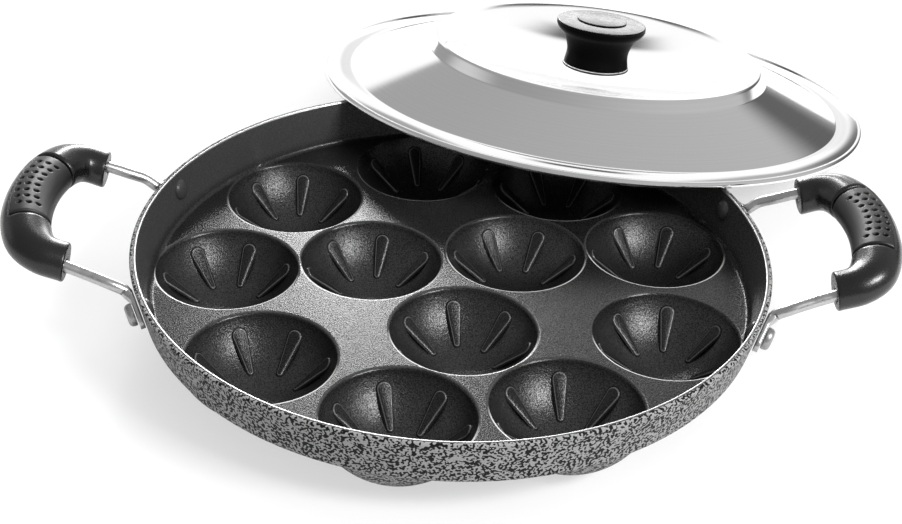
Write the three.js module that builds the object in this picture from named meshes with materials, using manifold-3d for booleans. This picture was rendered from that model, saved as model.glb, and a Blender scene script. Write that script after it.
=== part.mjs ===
// A twelve-cup ball pan: a pressed aluminium pan whose plate sinks into round ribbed cups, two riveted
// side handles with moulded grips, and a stainless lid that leans on the pan's rim and on the table.
// Millimetres and degrees. The origin is on the pan's axis, on the table that the cups stand on;
// +Z is up, the handles lie along X, and -Y is the front.
import * as THREE from 'three';
import { mergeVertices } from 'three/addons/utils/BufferGeometryUtils.js';
import Module from 'manifold-3d';

// Pressed pan
const SHEET = 2.4; // aluminium sheet
const CUP_RADIUS = 26; // mouth of a cup, at the plate's top face
const CUP_DEPTH = 18.2; // inside depth of a cup below the plate's top face
const CUP_FOOT_RADIUS = 5.5; // flat under each cup
const OUTER_CUPS = 9;
const INNER_CUPS = 3;
const OUTER_WEB = 4.1; // plate left between two cups of the outer ring
const INNER_WEB = 2.7; // plate left between two cups of the inner ring
const OUTER_PHASE = -60.3; // plan angle of the first cup of the outer ring
const INNER_PHASE = -80; // plan angle of the first cup of the inner ring
const PLATE_MARGIN = 0.9; // plate left between the outer cups and the wall
const WALL_HEIGHT = 16.8; // rim above the plate's top face
const WALL_FLARE = 12.4; // lean of the wall, outwards from upright
const CORNER_RADIUS = 3.4; // outside bend between the plate and the wall

// Raised ribs pressed into the cups
const RIBS = 7; // in each cup
const RIB_FOOT_RADIUS = 11; // plan distance of a rib's lower end from the cup's axis
const RIB_HEAD_MARGIN = 2; // plan distance of its upper end from the cup's mouth
const RIB_FOOT_WIDTH = 1.8;
const RIB_HEAD_WIDTH = 4.4;
const RIB_HEIGHT = 0.9; // how far a rib stands out of the cup
const RIB_SLOPE = 0.5; // how much narrower its top is on each side

// Handles: a bent rod with flattened, riveted ends, a moulded grip and a pad set into the grip
const ROD_DIAMETER = 3.7;
const HANDLE_TILT = 19; // rise of the handle's plane, outwards
const LEFT_TURN = 1.5; // turn of each handle about the pan's axis
const RIGHT_TURN = 0.5;
const HANDLE_ROOT_DROP = 2.1; // handle's plane below the rim, at the wall
const HANDLE_ROOT_GAP = 3.1; // from the wall to the start of the handle's plane
const RIVET_ANGLE = 21; // plan angle of a rivet from the handle's middle
const RIVET_DROP = 7; // rivet below the rim
const TAB_SLOPE = 33; // fall of a flattened end along the wall
const TAB_WIDTH = 6;
const TAB_THICKNESS = 1.8;
const TAB_LEAD = 8.5; // flattened length from the rivet towards the grip
const TAB_TAIL = 6; // flattened length past the rivet
const ROD_END_GAP = 1.2; // between the rod's round part and the rivet's head
const ROD_RUN = 21.7; // bare rod between the wall and the grip
const ROD_SPLAY = 2.4; // how much wider the rod spreads on that run
const ROD_SPLAY_SHARES = [[0.3, 1], [0.65, 0.375]]; // shares of the run, of the splay
const GRIP_SPREAD = 32.8; // half the distance between the rod's two runs where they enter the grip
const GRIP_REACH = 43.6; // rod's middle, outwards from the wall
const GRIP_BEND = [[0.4, 0.99], [0.71, 0.86], [0.91, 0.52]]; // shares of the way to the middle, of the spread
const GRIP_INSET = 2.2; // grip's middle line inside the rod's
const GRIP_END_LEAN = 11; // lean of the grip's end faces from upright
const ARM_HALF_WIDTH = 6.9;
const ARM_HALF_HEIGHT = 6.6;
const MIDDLE_HALF_WIDTH = 8.8;
const MIDDLE_HALF_HEIGHT = 7.2;
const BORE_CLEARANCE = 0.75;
const PAD_LENGTH = 38; // along the grip's middle line
const PAD_START = 35; // pad's edges round the grip's section, from the outer side over the top
const PAD_END = 235;
const PAD_THICKNESS = 1.8;
const PAD_SINK = 0.7; // how far the pad lies below the grip's surface

// Rivets
const RIVET_DIAMETER = 4;
const RIVET_HEAD_DIAMETER = 8;
const RIVET_HEAD_HEIGHT = 2.8; // outer head
const RIVET_DOME_HEIGHT = 2; // inner head

// Lid
const LID_SHEET = 0.7;
const LID_OVERHANG = 4.6; // lid's edge beyond the pan's rim when it is on
const LID_LIP = 2.2; // turned-down edge
const FLANGE_WIDTH = 11.6;
const FLANGE_DISH = 0.7; // fall of the flange towards the middle
const CONE_WIDTH = 33; // plan width of the sloping band
const CONE_RISE = 12.8;
const STEP_WIDTH = 3.6; // plan width of the steep step above it
const STEP_RISE = 5.2;
const DISH_DEPTH = 9; // sunken middle below the crest of the step
const SEAT_RADIUS = 16; // flat that the knob stands on
const LID_REACH = 69.4; // how far the leaning lid reaches over the pan
const LID_BESIDE_RIVET = 7.4; // plan angle from the right rear rivet to where the lid rests on the rim

// Knob and its screw
const KNOB_HEIGHT = 18.8;
const KNOB_BASE_RADIUS = 14.2;
const KNOB_WAIST_RADIUS = 13.5;
const KNOB_HEAD_RADIUS = 19.5;
const KNOB_POCKET_RADIUS = 7;
const KNOB_EDGE = 0.6; // bevel round the head's top
const CAP_RADIUS = 11.6;
const CAP_THICKNESS = 1.4;
const CAP_SPIGOT = 3; // plug under the cap
const SEAT_RING_RADIUS = 15;
const SEAT_RING_THICKNESS = 0.8;
const SCREW_DIAMETER = 5;
const SCREW_TIP = 0.5; // past the nut
const SCREW_HEAD_RADIUS = 4.6;
const SCREW_HEAD_HEIGHT = 2.6;
const WASHER_RADIUS = 6.4;
const WASHER_THICKNESS = 1;
const NUT_ACROSS_FLATS = 8;
const NUT_HEIGHT = 4;
const LOCK_WASHER_RADIUS = 4.4;
const LOCK_WASHER_THICKNESS = 1.2;

const GAP = 0.3; // between pieces that seat on each other
const DEG = Math.PI / 180;

const wasm = await Module();
wasm.setup();

// A closed geometry as a solid with its faces pointing out
function solid(geometry) {
  const bare = geometry.clone();
  bare.deleteAttribute('normal');
  bare.deleteAttribute('uv');
  const merged = mergeVertices(bare, 1e-4);
  const place = merged.attributes.position;
  const corners = merged.index.array;
  const triangles = [];
  let volume = 0;
  const [p, q, r] = [new THREE.Vector3(), new THREE.Vector3(), new THREE.Vector3()];
  for (let i = 0; i < corners.length; i += 3) {
    const [a, b, c] = [corners[i], corners[i + 1], corners[i + 2]];
    if (a === b || b === c || c === a) continue;
    triangles.push([a, b, c]);
    p.fromBufferAttribute(place, a);
    q.fromBufferAttribute(place, b);
    r.fromBufferAttribute(place, c);
    volume += p.dot(q.cross(r));
  }
  const facing = volume < 0 ? triangles.map(([a, b, c]) => [a, c, b]) : triangles;
  return new wasm.Manifold(new wasm.Mesh({
    numProp: 3,
    vertProperties: Float32Array.from(place.array),
    triVerts: Uint32Array.from(facing.flat()),
  }));
}

function geometryOf(body) {
  const mesh = body.getMesh();
  const geometry = new THREE.BufferGeometry();
  geometry.setAttribute('position', new THREE.BufferAttribute(mesh.vertProperties, 3));
  geometry.setIndex(new THREE.BufferAttribute(mesh.triVerts, 1));
  geometry.computeVertexNormals();
  return geometry;
}

function piece(name, body, material) {
  const mesh = new THREE.Mesh(geometryOf(body), material);
  mesh.name = name;
  return mesh;
}

// A profile of [radius, height] points turned about Z
function turned(profile, segments) {
  const points = profile.map(([radius, height]) => new THREE.Vector2(Math.max(radius, 0), height));
  return new THREE.LatheGeometry(points, segments).rotateX(Math.PI / 2);
}

// A plug of a radius that runs a length to each side of its middle
function plug(radius, reach) {
  return [[0, -reach], [radius, -reach], [radius, reach], [0, reach]];
}

// Points of an arc in a profile, with its first and last points
function arc(centreRadius, centreHeight, radius, from, to, steps) {
  return Array.from({ length: steps + 1 }, (_, i) => {
    const angle = (from + ((to - from) * i) / steps) * DEG;
    return [centreRadius + radius * Math.cos(angle), centreHeight + radius * Math.sin(angle)];
  });
}

// A closed solid through rings of points, each end closed by a strip across its ring
function loft(rings) {
  const count = rings[0].length;
  const index = [];
  for (let ring = 0; ring + 1 < rings.length; ring++) {
    for (let i = 0; i < count; i++) {
      const j = (i + 1) % count;
      const [near, far] = [ring * count, (ring + 1) * count];
      index.push(near + i, near + j, far + j, near + i, far + j, far + i);
    }
  }
  const last = (rings.length - 1) * count;
  for (let i = 0; i + 1 < count / 2; i++) {
    const [a, b, c, d] = [i, i + 1, count - 2 - i, count - 1 - i];
    index.push(c, b, a, d, c, a);
    index.push(last + a, last + b, last + c, last + a, last + c, last + d);
  }
  const geometry = new THREE.BufferGeometry();
  const places = rings.flat().flatMap((point) => point.toArray());
  geometry.setAttribute('position', new THREE.Float32BufferAttribute(places, 3));
  geometry.setIndex(index);
  return geometry;
}

function union(bodies) {
  return bodies.reduce((whole, body) => whole.add(body));
}

const spin = (angle) => new THREE.Matrix4().makeRotationZ(angle * DEG);
const shift = (x, y, z) => new THREE.Matrix4().makeTranslation(x, y, z);

// Sizes that follow from the driving ones
const cupSphere = (CUP_RADIUS ** 2 + CUP_DEPTH ** 2) / (2 * CUP_DEPTH);
const cupOutside = cupSphere + SHEET;
const footCut = cupOutside - Math.sqrt(cupOutside ** 2 - CUP_FOOT_RADIUS ** 2);
const plateTop = CUP_DEPTH + SHEET - footCut;
const plateBottom = plateTop - SHEET;
const cupCentre = plateTop + cupSphere - CUP_DEPTH; // height of a cup's centre of curvature
const outerRing = (CUP_RADIUS + OUTER_WEB / 2) / Math.sin(Math.PI / OUTER_CUPS);
const innerRing = (CUP_RADIUS + INNER_WEB / 2) / Math.sin(Math.PI / INNER_CUPS);
const flare = WALL_FLARE * DEG;
const rimTop = plateTop + WALL_HEIGHT;
const cornerHeight = plateBottom + CORNER_RADIUS;
const cornerCentre = outerRing + CUP_RADIUS + PLATE_MARGIN - (CORNER_RADIUS - SHEET) * Math.cos(flare);
const rimCentreHeight = rimTop - SHEET / 2;
const rimCentre = cornerCentre
  + (CORNER_RADIUS - SHEET / 2 + (rimCentreHeight - cornerHeight) * Math.sin(flare)) / Math.cos(flare);
const rimRadius = rimCentre + SHEET / 2;

// Radius of the wall's outer face at a height
function wallRadius(height) {
  return rimCentre + (height - rimCentreHeight) * Math.tan(flare) + SHEET / 2 / Math.cos(flare);
}

// Materials
function finish(color, roughness, metalness) {
  return new THREE.MeshStandardMaterial({ color, roughness, metalness });
}
const panCoat = finish(0x3a3b3d, 0.45, 0.5);
const rodSteel = finish(0xb9babb, 0.3, 1);
const gripBlack = finish(0x1b1b1c, 0.5, 0);
const padBlack = finish(0x232324, 0.65, 0);
const rivetAluminium = finish(0xaeafb0, 0.35, 1);
const lidSteel = finish(0xd6d7d8, 0.18, 1);
const knobBlack = finish(0x101011, 0.25, 0);
const screwSteel = finish(0xa8a9aa, 0.35, 1);

// Plan angle of a handle's middle
function handleAngle(side) {
  return side === 'left' ? 180 + LEFT_TURN : RIGHT_TURN;
}

// Frame on the wall's outer face at a rivet: X along the flattened end, away from the grip, Z outwards
function wallFrame(end) {
  const angle = end * RIVET_ANGLE * DEG;
  const height = rimTop - RIVET_DROP;
  const outward = new THREE.Vector3(
    Math.cos(flare) * Math.cos(angle), Math.cos(flare) * Math.sin(angle), -Math.sin(flare));
  const along = new THREE.Vector3(-Math.sin(angle), Math.cos(angle), 0).multiplyScalar(end);
  const upWall = new THREE.Vector3(
    Math.sin(flare) * Math.cos(angle), Math.sin(flare) * Math.sin(angle), Math.cos(flare));
  const tab = along.multiplyScalar(Math.cos(TAB_SLOPE * DEG))
    .addScaledVector(upWall, -Math.sin(TAB_SLOPE * DEG));
  const across = new THREE.Vector3().crossVectors(outward, tab);
  const radius = wallRadius(height);
  return new THREE.Matrix4().makeBasis(tab, across, outward)
    .setPosition(radius * Math.cos(angle), radius * Math.sin(angle), height);
}

// Pressed pan: a flared dish, the cups' outsides added, their insides cut, their ribs added
function cupOutsideGeometry() {
  const start = Math.asin(CUP_FOOT_RADIUS / cupOutside) / DEG;
  const top = plateBottom + SHEET / 2;
  const end = Math.acos((cupCentre - top) / cupOutside) / DEG;
  return turned([[0, 0], ...arc(0, cupCentre, cupOutside, start - 90, end - 90, 3), [0, top]], 14);
}

function cupInsideGeometry() {
  const end = Math.asin(CUP_RADIUS / cupSphere) / DEG;
  const above = plateTop + SHEET;
  const columns = RIBS * 3;
  const profile = [...arc(0, cupCentre, cupSphere, -90, end - 90, 4), [CUP_RADIUS, above], [0, above]];
  return turned(profile, columns).rotateZ(Math.PI / 2 + Math.PI / columns);
}

function ribGeometry() {
  const low = Math.asin(RIB_FOOT_RADIUS / cupSphere);
  const length = cupSphere * (Math.asin((CUP_RADIUS - RIB_HEAD_MARGIN) / cupSphere) - low);
  const foot = RIB_FOOT_WIDTH / 2;
  const head = RIB_HEAD_WIDTH / 2;
  const mid = (foot + head) / 2;
  const side = [[0, foot], [length / 2, mid], [length - head, head], [length, head / 2]];
  const outline = [...side, ...side.map(([along, half]) => [along, -half]).reverse()];
  const layer = (radius, grow) => outline.map(([along, half]) => {
    const polar = low + along / cupSphere;
    const turn = (half + Math.sign(half) * Math.max(grow, -Math.abs(half) * 0.6)) / cupSphere;
    const reach = radius * Math.cos(turn);
    return new THREE.Vector3(
      reach * Math.sin(polar), radius * Math.sin(turn), cupCentre - reach * Math.cos(polar));
  });
  return loft([layer(cupSphere + SHEET / 2, 0), layer(cupSphere - RIB_HEIGHT, -RIB_SLOPE)]);
}

// Plan places of the cups, with the angle of each one's first rib
function cupPlaces() {
  const ring = (count, radius, phase, firstRib) => Array.from({ length: count }, (_, i) => {
    const angle = phase + (360 / count) * i;
    return { radius, angle, ribAngle: firstRib };
  });
  return [...ring(OUTER_CUPS, outerRing, OUTER_PHASE, 0), ...ring(INNER_CUPS, innerRing, INNER_PHASE, 180)];
}

function panBody() {
  const dish = solid(turned([
    [0, plateBottom],
    ...arc(cornerCentre, cornerHeight, CORNER_RADIUS, -90, -WALL_FLARE, 2),
    ...arc(rimCentre, rimCentreHeight, SHEET / 2, -WALL_FLARE, 180 - WALL_FLARE, 4),
    ...arc(cornerCentre, cornerHeight, CORNER_RADIUS - SHEET, -WALL_FLARE, -90, 2),
    [0, plateTop],
  ], 60));
  const places = cupPlaces().map(({ radius, angle, ribAngle }) => ({
    centre: spin(angle).multiply(shift(radius, 0, 0)), ribAngle,
  }));
  const outsides = places.map(({ centre }) => solid(cupOutsideGeometry().applyMatrix4(centre)));
  const insides = places.map(({ centre, ribAngle }) => solid(
    cupInsideGeometry().applyMatrix4(centre.clone().multiply(spin(ribAngle)))));
  const ribs = places.flatMap(({ centre, ribAngle }) => Array.from({ length: RIBS }, (_, i) => (
    solid(ribGeometry().applyMatrix4(centre.clone().multiply(spin(ribAngle + (360 / RIBS) * i)))))));
  const holes = ['left', 'right'].flatMap((side) => [-1, 1].map((end) => solid(
    turned(plug(RIVET_DIAMETER / 2 + GAP, SHEET * 2), 10)
      .applyMatrix4(spin(handleAngle(side)).multiply(wallFrame(end))))));
  return [...insides, ...holes].reduce((body, cut) => body.subtract(cut), union([dish, ...outsides]))
    .add(union(ribs));
}

// Handle: its plane rises outwards from the wall; places in it are [outwards, sideways]
const handleRootHeight = rimTop - HANDLE_ROOT_DROP;
const handleRoot = wallRadius(handleRootHeight) * Math.cos(RIVET_ANGLE * DEG) + HANDLE_ROOT_GAP;
const handleOut = new THREE.Vector3(Math.cos(HANDLE_TILT * DEG), 0, Math.sin(HANDLE_TILT * DEG));
const handleUp = new THREE.Vector3(-Math.sin(HANDLE_TILT * DEG), 0, Math.cos(HANDLE_TILT * DEG));

function inHandle(out, side) {
  return new THREE.Vector3(handleRoot, side, handleRootHeight).addScaledVector(handleOut, out);
}

function rodCurve() {
  const seat = GAP + ROD_DIAMETER / 2;
  const onTab = (end, along) => new THREE.Vector3(along, 0, seat).applyMatrix4(wallFrame(end));
  const half = (end) => [
    onTab(end, -RIVET_HEAD_DIAMETER / 2 - ROD_END_GAP),
    onTab(end, -TAB_LEAD),
    ...ROD_SPLAY_SHARES.map(([way, splay]) => (
      inHandle(ROD_RUN * way, end * (GRIP_SPREAD + ROD_SPLAY * splay)))),
    inHandle(ROD_RUN, end * GRIP_SPREAD),
    ...GRIP_BEND.map(([way, spread]) => (
      inHandle(ROD_RUN + (GRIP_REACH - ROD_RUN) * way, end * GRIP_SPREAD * spread))),
  ];
  return new THREE.CatmullRomCurve3([...half(-1), inHandle(GRIP_REACH, 0), ...half(1).reverse()]);
}
const rod = rodCurve();
const rodLength = rod.getLength();

// Half the length of rod inside the grip, where the rod is ROD_RUN out from the wall
function gripHalfLength() {
  const mouth = inHandle(ROD_RUN, 0).dot(handleOut);
  let inside = 0.5;
  let outside = 1;
  for (let i = 0; i < 30; i++) {
    const guess = (inside + outside) / 2;
    if (rod.getPointAt(guess).dot(handleOut) > mouth) inside = guess;
    else outside = guess;
  }
  return (inside - 0.5) * rodLength;
}
const gripHalf = gripHalfLength();

// A ring of points round the rod, from half sizes and angles that start on the grip's outer side
function sectionRing(distance, inset, outline) {
  const at = 0.5 + distance / rodLength;
  const outward = new THREE.Vector3().crossVectors(rod.getTangentAt(at), handleUp).normalize();
  const centre = rod.getPointAt(at).addScaledVector(outward, -inset);
  return outline.map(([halfWidth, halfHeight, angle]) => centre.clone()
    .addScaledVector(outward, halfWidth * Math.cos(angle * DEG))
    .addScaledVector(handleUp, halfHeight * Math.sin(angle * DEG)));
}

function ovalOutline(halfWidth, halfHeight, sides) {
  return Array.from({ length: sides }, (_, i) => [halfWidth, halfHeight, (360 * (i + 0.5)) / sides]);
}

// Half sizes of the grip at a distance along its middle line
function gripHalves(distance) {
  const share = THREE.MathUtils.smoothstep(Math.abs(distance), gripHalf * 0.3, gripHalf * 0.9);
  return [
    THREE.MathUtils.lerp(MIDDLE_HALF_WIDTH, ARM_HALF_WIDTH, share),
    THREE.MathUtils.lerp(MIDDLE_HALF_HEIGHT, ARM_HALF_HEIGHT, share),
  ];
}

function evenly(from, to, steps) {
  return Array.from({ length: steps + 1 }, (_, i) => from + ((to - from) * i) / steps);
}

function gripOutside() {
  const past = gripHalf + ARM_HALF_HEIGHT * 0.6;
  return loft(evenly(-past, past, 14).map((distance) => {
    const [halfWidth, halfHeight] = gripHalves(distance);
    return sectionRing(distance, GRIP_INSET, ovalOutline(halfWidth, halfHeight, 12));
  }));
}

// What lies between the grip's two end faces and the pan
function gripEnds() {
  const face = inHandle(ROD_RUN, 0);
  const depth = 4 * ARM_HALF_WIDTH;
  return new THREE.BoxGeometry(depth, 4 * GRIP_SPREAD, depth).translate(-depth / 2, 0, 0)
    .rotateY(-GRIP_END_LEAN * DEG).translate(face.x, face.y, face.z);
}

// A curved slab round the grip's top, between two depths under the grip's surface
function saddle(halfLength, outerSink, innerSink, margin) {
  const angles = evenly(PAD_START - margin, PAD_END + margin, 8);
  return loft(evenly(-halfLength, halfLength, 8).map((distance) => {
    const [halfWidth, halfHeight] = gripHalves(distance);
    const shell = (sink) => angles.map((angle) => [halfWidth - sink, halfHeight - sink, angle]);
    return sectionRing(distance, GRIP_INSET, [...shell(outerSink), ...shell(innerSink).reverse()]);
  }));
}

function grip() {
  const boreRadius = ROD_DIAMETER / 2 + BORE_CLEARANCE;
  const past = gripHalf + ARM_HALF_HEIGHT;
  const bore = loft(evenly(-past, past, 24).map((distance) => (
    sectionRing(distance, 0, ovalOutline(boreRadius, boreRadius, 8)))));
  const marginAngle = GAP / MIDDLE_HALF_HEIGHT / DEG;
  const pocket = saddle(PAD_LENGTH / 2 + GAP, -PAD_THICKNESS, PAD_SINK + PAD_THICKNESS + GAP, marginAngle);
  return solid(gripOutside()).subtract(solid(gripEnds())).subtract(solid(pocket)).subtract(solid(bore));
}

function handleRod() {
  const round = new THREE.Shape().absarc(0, 0, ROD_DIAMETER / 2, 0, Math.PI * 2);
  const bar = solid(new THREE.ExtrudeGeometry(round, { steps: 40, curveSegments: 4, extrudePath: rod }));
  const half = TAB_WIDTH / 2;
  const flat = new THREE.Shape().moveTo(-TAB_LEAD, -half).lineTo(TAB_TAIL - half, -half)
    .absarc(TAB_TAIL - half, 0, half, -Math.PI / 2, Math.PI / 2).lineTo(-TAB_LEAD, half).closePath();
  flat.holes.push(new THREE.Path().absarc(0, 0, RIVET_DIAMETER / 2 + GAP, 0, Math.PI * 2, true));
  const tabs = [-1, 1].map((end) => solid(
    new THREE.ExtrudeGeometry(flat, { depth: TAB_THICKNESS, bevelEnabled: false, curveSegments: 4 })
      .translate(0, 0, GAP).applyMatrix4(wallFrame(end))));
  return union([bar, ...tabs]);
}

// Rivet on its own axis: the wall's outer face at zero, the outer head up
function rivetGeometry() {
  const shank = RIVET_DIAMETER / 2;
  const head = RIVET_HEAD_DIAMETER / 2;
  const seat = GAP + TAB_THICKNESS + GAP;
  const inside = -SHEET - GAP;
  const bevel = RIVET_HEAD_HEIGHT * 0.25;
  return turned([
    [0, inside - RIVET_DOME_HEIGHT],
    [head * 0.55, inside - RIVET_DOME_HEIGHT * 0.85],
    [head * 0.9, inside - RIVET_DOME_HEIGHT * 0.45],
    [head, inside],
    [shank, inside],
    [shank, seat],
    [head, seat],
    [head, seat + RIVET_HEAD_HEIGHT - bevel],
    [head - bevel, seat + RIVET_HEAD_HEIGHT],
    [0, seat + RIVET_HEAD_HEIGHT],
  ], 10);
}

function handle(side) {
  const group = new THREE.Group();
  group.add(piece(`${side}_handle_rod`, handleRod(), rodSteel));
  group.add(piece(`${side}_grip`, grip(), gripBlack));
  const pad = saddle(PAD_LENGTH / 2, PAD_SINK, PAD_SINK + PAD_THICKNESS, 0);
  group.add(piece(`${side}_grip_pad`, solid(pad), padBlack));
  for (const end of [-1, 1]) {
    const nearFront = (end < 0) === (side === 'right');
    const name = `${side}_${nearFront ? 'front' : 'rear'}_rivet`;
    const rivet = piece(name, solid(rivetGeometry()), rivetAluminium);
    rivet.applyMatrix4(wallFrame(end));
    group.add(rivet);
  }
  group.rotation.z = handleAngle(side) * DEG;
  return group;
}

// Lid, on its own axis with its lower edge at zero
const lidRadius = rimRadius + LID_OVERHANG;
const screwHole = SCREW_DIAMETER / 2 + GAP;
const flangeFoot = lidRadius - FLANGE_WIDTH;
const stepFoot = flangeFoot - CONE_WIDTH;
const crest = stepFoot - STEP_WIDTH;
const flangeFootHeight = LID_LIP - FLANGE_DISH;
const crestHeight = flangeFootHeight + CONE_RISE + STEP_RISE;
const seatHeight = crestHeight - DISH_DEPTH;

// The sheet's upper face, from its lower edge to the screw hole
function lidFace() {
  const bend = LID_SHEET;
  return [
    [lidRadius, 0],
    ...arc(lidRadius - bend, LID_LIP - bend, bend, 0, 90, 1),
    [flangeFoot, flangeFootHeight],
    [stepFoot, flangeFootHeight + CONE_RISE],
    [crest + STEP_WIDTH * 0.3, crestHeight - STEP_RISE * 0.16],
    [crest, crestHeight],
    ...[0.65, 0.3].map((share) => [
      THREE.MathUtils.lerp(SEAT_RADIUS, crest, share), seatHeight + DISH_DEPTH * share ** 1.6]),
    [SEAT_RADIUS, seatHeight],
    [screwHole, seatHeight],
  ];
}

// The same face one sheet thickness further in
function offsetFace(face, thickness) {
  const normal = (a, b) => new THREE.Vector2(a[1] - b[1], b[0] - a[0]).normalize();
  return face.map((point, i) => {
    const before = i > 0 ? normal(face[i - 1], point) : normal(point, face[i + 1]);
    const after = i + 1 < face.length ? normal(point, face[i + 1]) : before;
    const mean = before.clone().add(after).normalize();
    const reach = thickness / Math.max(mean.dot(before), 0.4);
    return [point[0] + mean.x * reach, point[1] + mean.y * reach];
  });
}

function lidShell() {
  const face = lidFace();
  const under = offsetFace(face, LID_SHEET).reverse();
  return solid(turned([...face, ...under, face[0]], 52));
}

// Heights of the pieces stacked on the lid's middle, each a gap above the last
const ringBottom = seatHeight + GAP;
const knobBottom = ringBottom + SEAT_RING_THICKNESS + GAP;
const knobTop = knobBottom + KNOB_HEIGHT;
const capBottom = knobTop + GAP;
const screwTop = capBottom - CAP_SPIGOT - GAP;
const nutBottom = screwTop - SCREW_TIP - NUT_HEIGHT;
const lockBottom = nutBottom - GAP - LOCK_WASHER_THICKNESS;
const pocketFloor = lockBottom - GAP;
const washerTop = seatHeight - LID_SHEET - GAP;
const screwSeat = washerTop - WASHER_THICKNESS - GAP;

function knobBody() {
  const [base, waist, head] = [KNOB_BASE_RADIUS, KNOB_WAIST_RADIUS, KNOB_HEAD_RADIUS];
  const at = (share) => knobBottom + KNOB_HEIGHT * share;
  const flareTo = (share) => waist + (head - waist) * share;
  return solid(turned([
    [screwHole, knobBottom],
    [base, knobBottom],
    [waist, at(0.25)],
    [flareTo(0.05), at(0.4)],
    [flareTo(0.26), at(0.57)],
    [flareTo(0.52), at(0.7)],
    [flareTo(0.88), at(0.83)],
    [head, at(0.9)],
    [head, at(0.96)],
    [head - KNOB_EDGE, knobTop],
    [KNOB_POCKET_RADIUS, knobTop],
    [KNOB_POCKET_RADIUS, pocketFloor],
    [screwHole, pocketFloor],
    [screwHole, knobBottom],
  ], 26));
}

function knobCap() {
  const spigot = KNOB_POCKET_RADIUS - GAP;
  const bevel = CAP_THICKNESS * 0.35;
  return solid(turned([
    [0, capBottom - CAP_SPIGOT],
    [spigot, capBottom - CAP_SPIGOT],
    [spigot, capBottom],
    [CAP_RADIUS, capBottom],
    [CAP_RADIUS, capBottom + CAP_THICKNESS - bevel],
    [CAP_RADIUS - bevel, capBottom + CAP_THICKNESS],
    [0, capBottom + CAP_THICKNESS],
  ], 26));
}

function lidScrew() {
  const shank = SCREW_DIAMETER / 2;
  const under = screwSeat - SCREW_HEAD_HEIGHT;
  return solid(turned([
    [0, under],
    [SCREW_HEAD_RADIUS * 0.7, under],
    [SCREW_HEAD_RADIUS, under + SCREW_HEAD_HEIGHT * 0.5],
    [SCREW_HEAD_RADIUS, screwSeat],
    [shank, screwSeat],
    [shank, screwTop],
    [0, screwTop],
  ], 16));
}

function knobNut() {
  const hexagon = new THREE.Shape(Array.from({ length: 6 }, (_, i) => new THREE.Vector2(
    Math.cos((Math.PI / 3) * i), Math.sin((Math.PI / 3) * i))
    .multiplyScalar(NUT_ACROSS_FLATS / Math.sqrt(3))));
  hexagon.holes.push(new THREE.Path().absarc(0, 0, screwHole, 0, Math.PI * 2, true));
  const extrusion = { depth: NUT_HEIGHT, bevelEnabled: false, curveSegments: 8 };
  const nut = new THREE.ExtrudeGeometry(hexagon, extrusion);
  return solid(nut.translate(0, 0, nutBottom));
}

function washer(radius, bottom, thickness) {
  const top = bottom + thickness;
  const outside = [[radius, bottom], [radius, top]];
  return solid(turned([[screwHole, bottom], ...outside, [screwHole, top], [screwHole, bottom]], 16));
}

// The lean at which the lid rests on the table at one point of its edge and on the rim at two points
function lidLean() {
  const offset = rimRadius + lidRadius - LID_REACH;
  const underside = [
    [lidRadius, 0],
    [lidRadius - LID_SHEET, 0],
    [flangeFoot, flangeFootHeight - LID_SHEET],
  ];
  // Lowest place of the underside where it crosses the rim's outer edge: its height above the rim, and its
  // plan angle from the line between the two middles
  const lowestCrossing = (lean) => underside.map(([radius, height]) => {
    const centre = offset + height * Math.sin(lean);
    const square = (radius * Math.sin(lean)) ** 2;
    const linear = 2 * centre * radius * Math.cos(lean);
    const rest = centre ** 2 + radius ** 2 - rimRadius ** 2;
    const crossing = (Math.sqrt(linear ** 2 + 4 * square * rest) - linear) / (2 * square);
    const clear = (lidRadius + radius * crossing) * Math.sin(lean) + height * Math.cos(lean) - rimTop;
    const across = radius * Math.sqrt(Math.max(1 - crossing ** 2, 0));
    return { clear, angle: Math.atan2(across, centre - radius * crossing * Math.cos(lean)) / DEG };
  }).reduce((lowest, next) => (next.clear < lowest.clear ? next : lowest));
  let [low, high] = [1 * DEG, 60 * DEG];
  for (let i = 0; i < 50; i++) {
    const guess = (low + high) / 2;
    if (lowestCrossing(guess).clear < 0) low = guess;
    else high = guess;
  }
  const azimuth = RIGHT_TURN + RIVET_ANGLE + LID_BESIDE_RIVET + lowestCrossing(high).angle;
  return { lean: high, offset, azimuth };
}

function lid() {
  const { lean, offset, azimuth } = lidLean();
  const leaning = new THREE.Group();
  leaning.rotation.y = lean;
  leaning.position.set(offset, 0, lidRadius * Math.sin(lean) + GAP);
  leaning.add(piece('lid_shell', lidShell(), lidSteel));
  const seatRing = washer(SEAT_RING_RADIUS, ringBottom, SEAT_RING_THICKNESS);
  leaning.add(piece('knob_seat_ring', seatRing, screwSteel));
  leaning.add(piece('lid_knob', knobBody(), knobBlack));
  leaning.add(piece('knob_cap', knobCap(), knobBlack));
  leaning.add(piece('lid_screw', lidScrew(), screwSteel));
  const screwWasher = washer(WASHER_RADIUS, washerTop - WASHER_THICKNESS, WASHER_THICKNESS);
  leaning.add(piece('screw_washer', screwWasher, screwSteel));
  const lockWasher = washer(LOCK_WASHER_RADIUS, lockBottom, LOCK_WASHER_THICKNESS);
  leaning.add(piece('lock_washer', lockWasher, screwSteel));
  leaning.add(piece('knob_nut', knobNut(), screwSteel));
  const turnedOut = new THREE.Group();
  turnedOut.rotation.z = azimuth * DEG;
  turnedOut.add(leaning);
  return turnedOut;
}

const pan = new THREE.Group();
pan.add(piece('pan_body', panBody(), panCoat), handle('left'), handle('right'), lid());

export default pan;
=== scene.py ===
import bisect
import functools
import math

import bmesh
import bpy
from mathutils import Matrix, Vector
from mathutils.geometry import delaunay_2d_cdt


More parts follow.
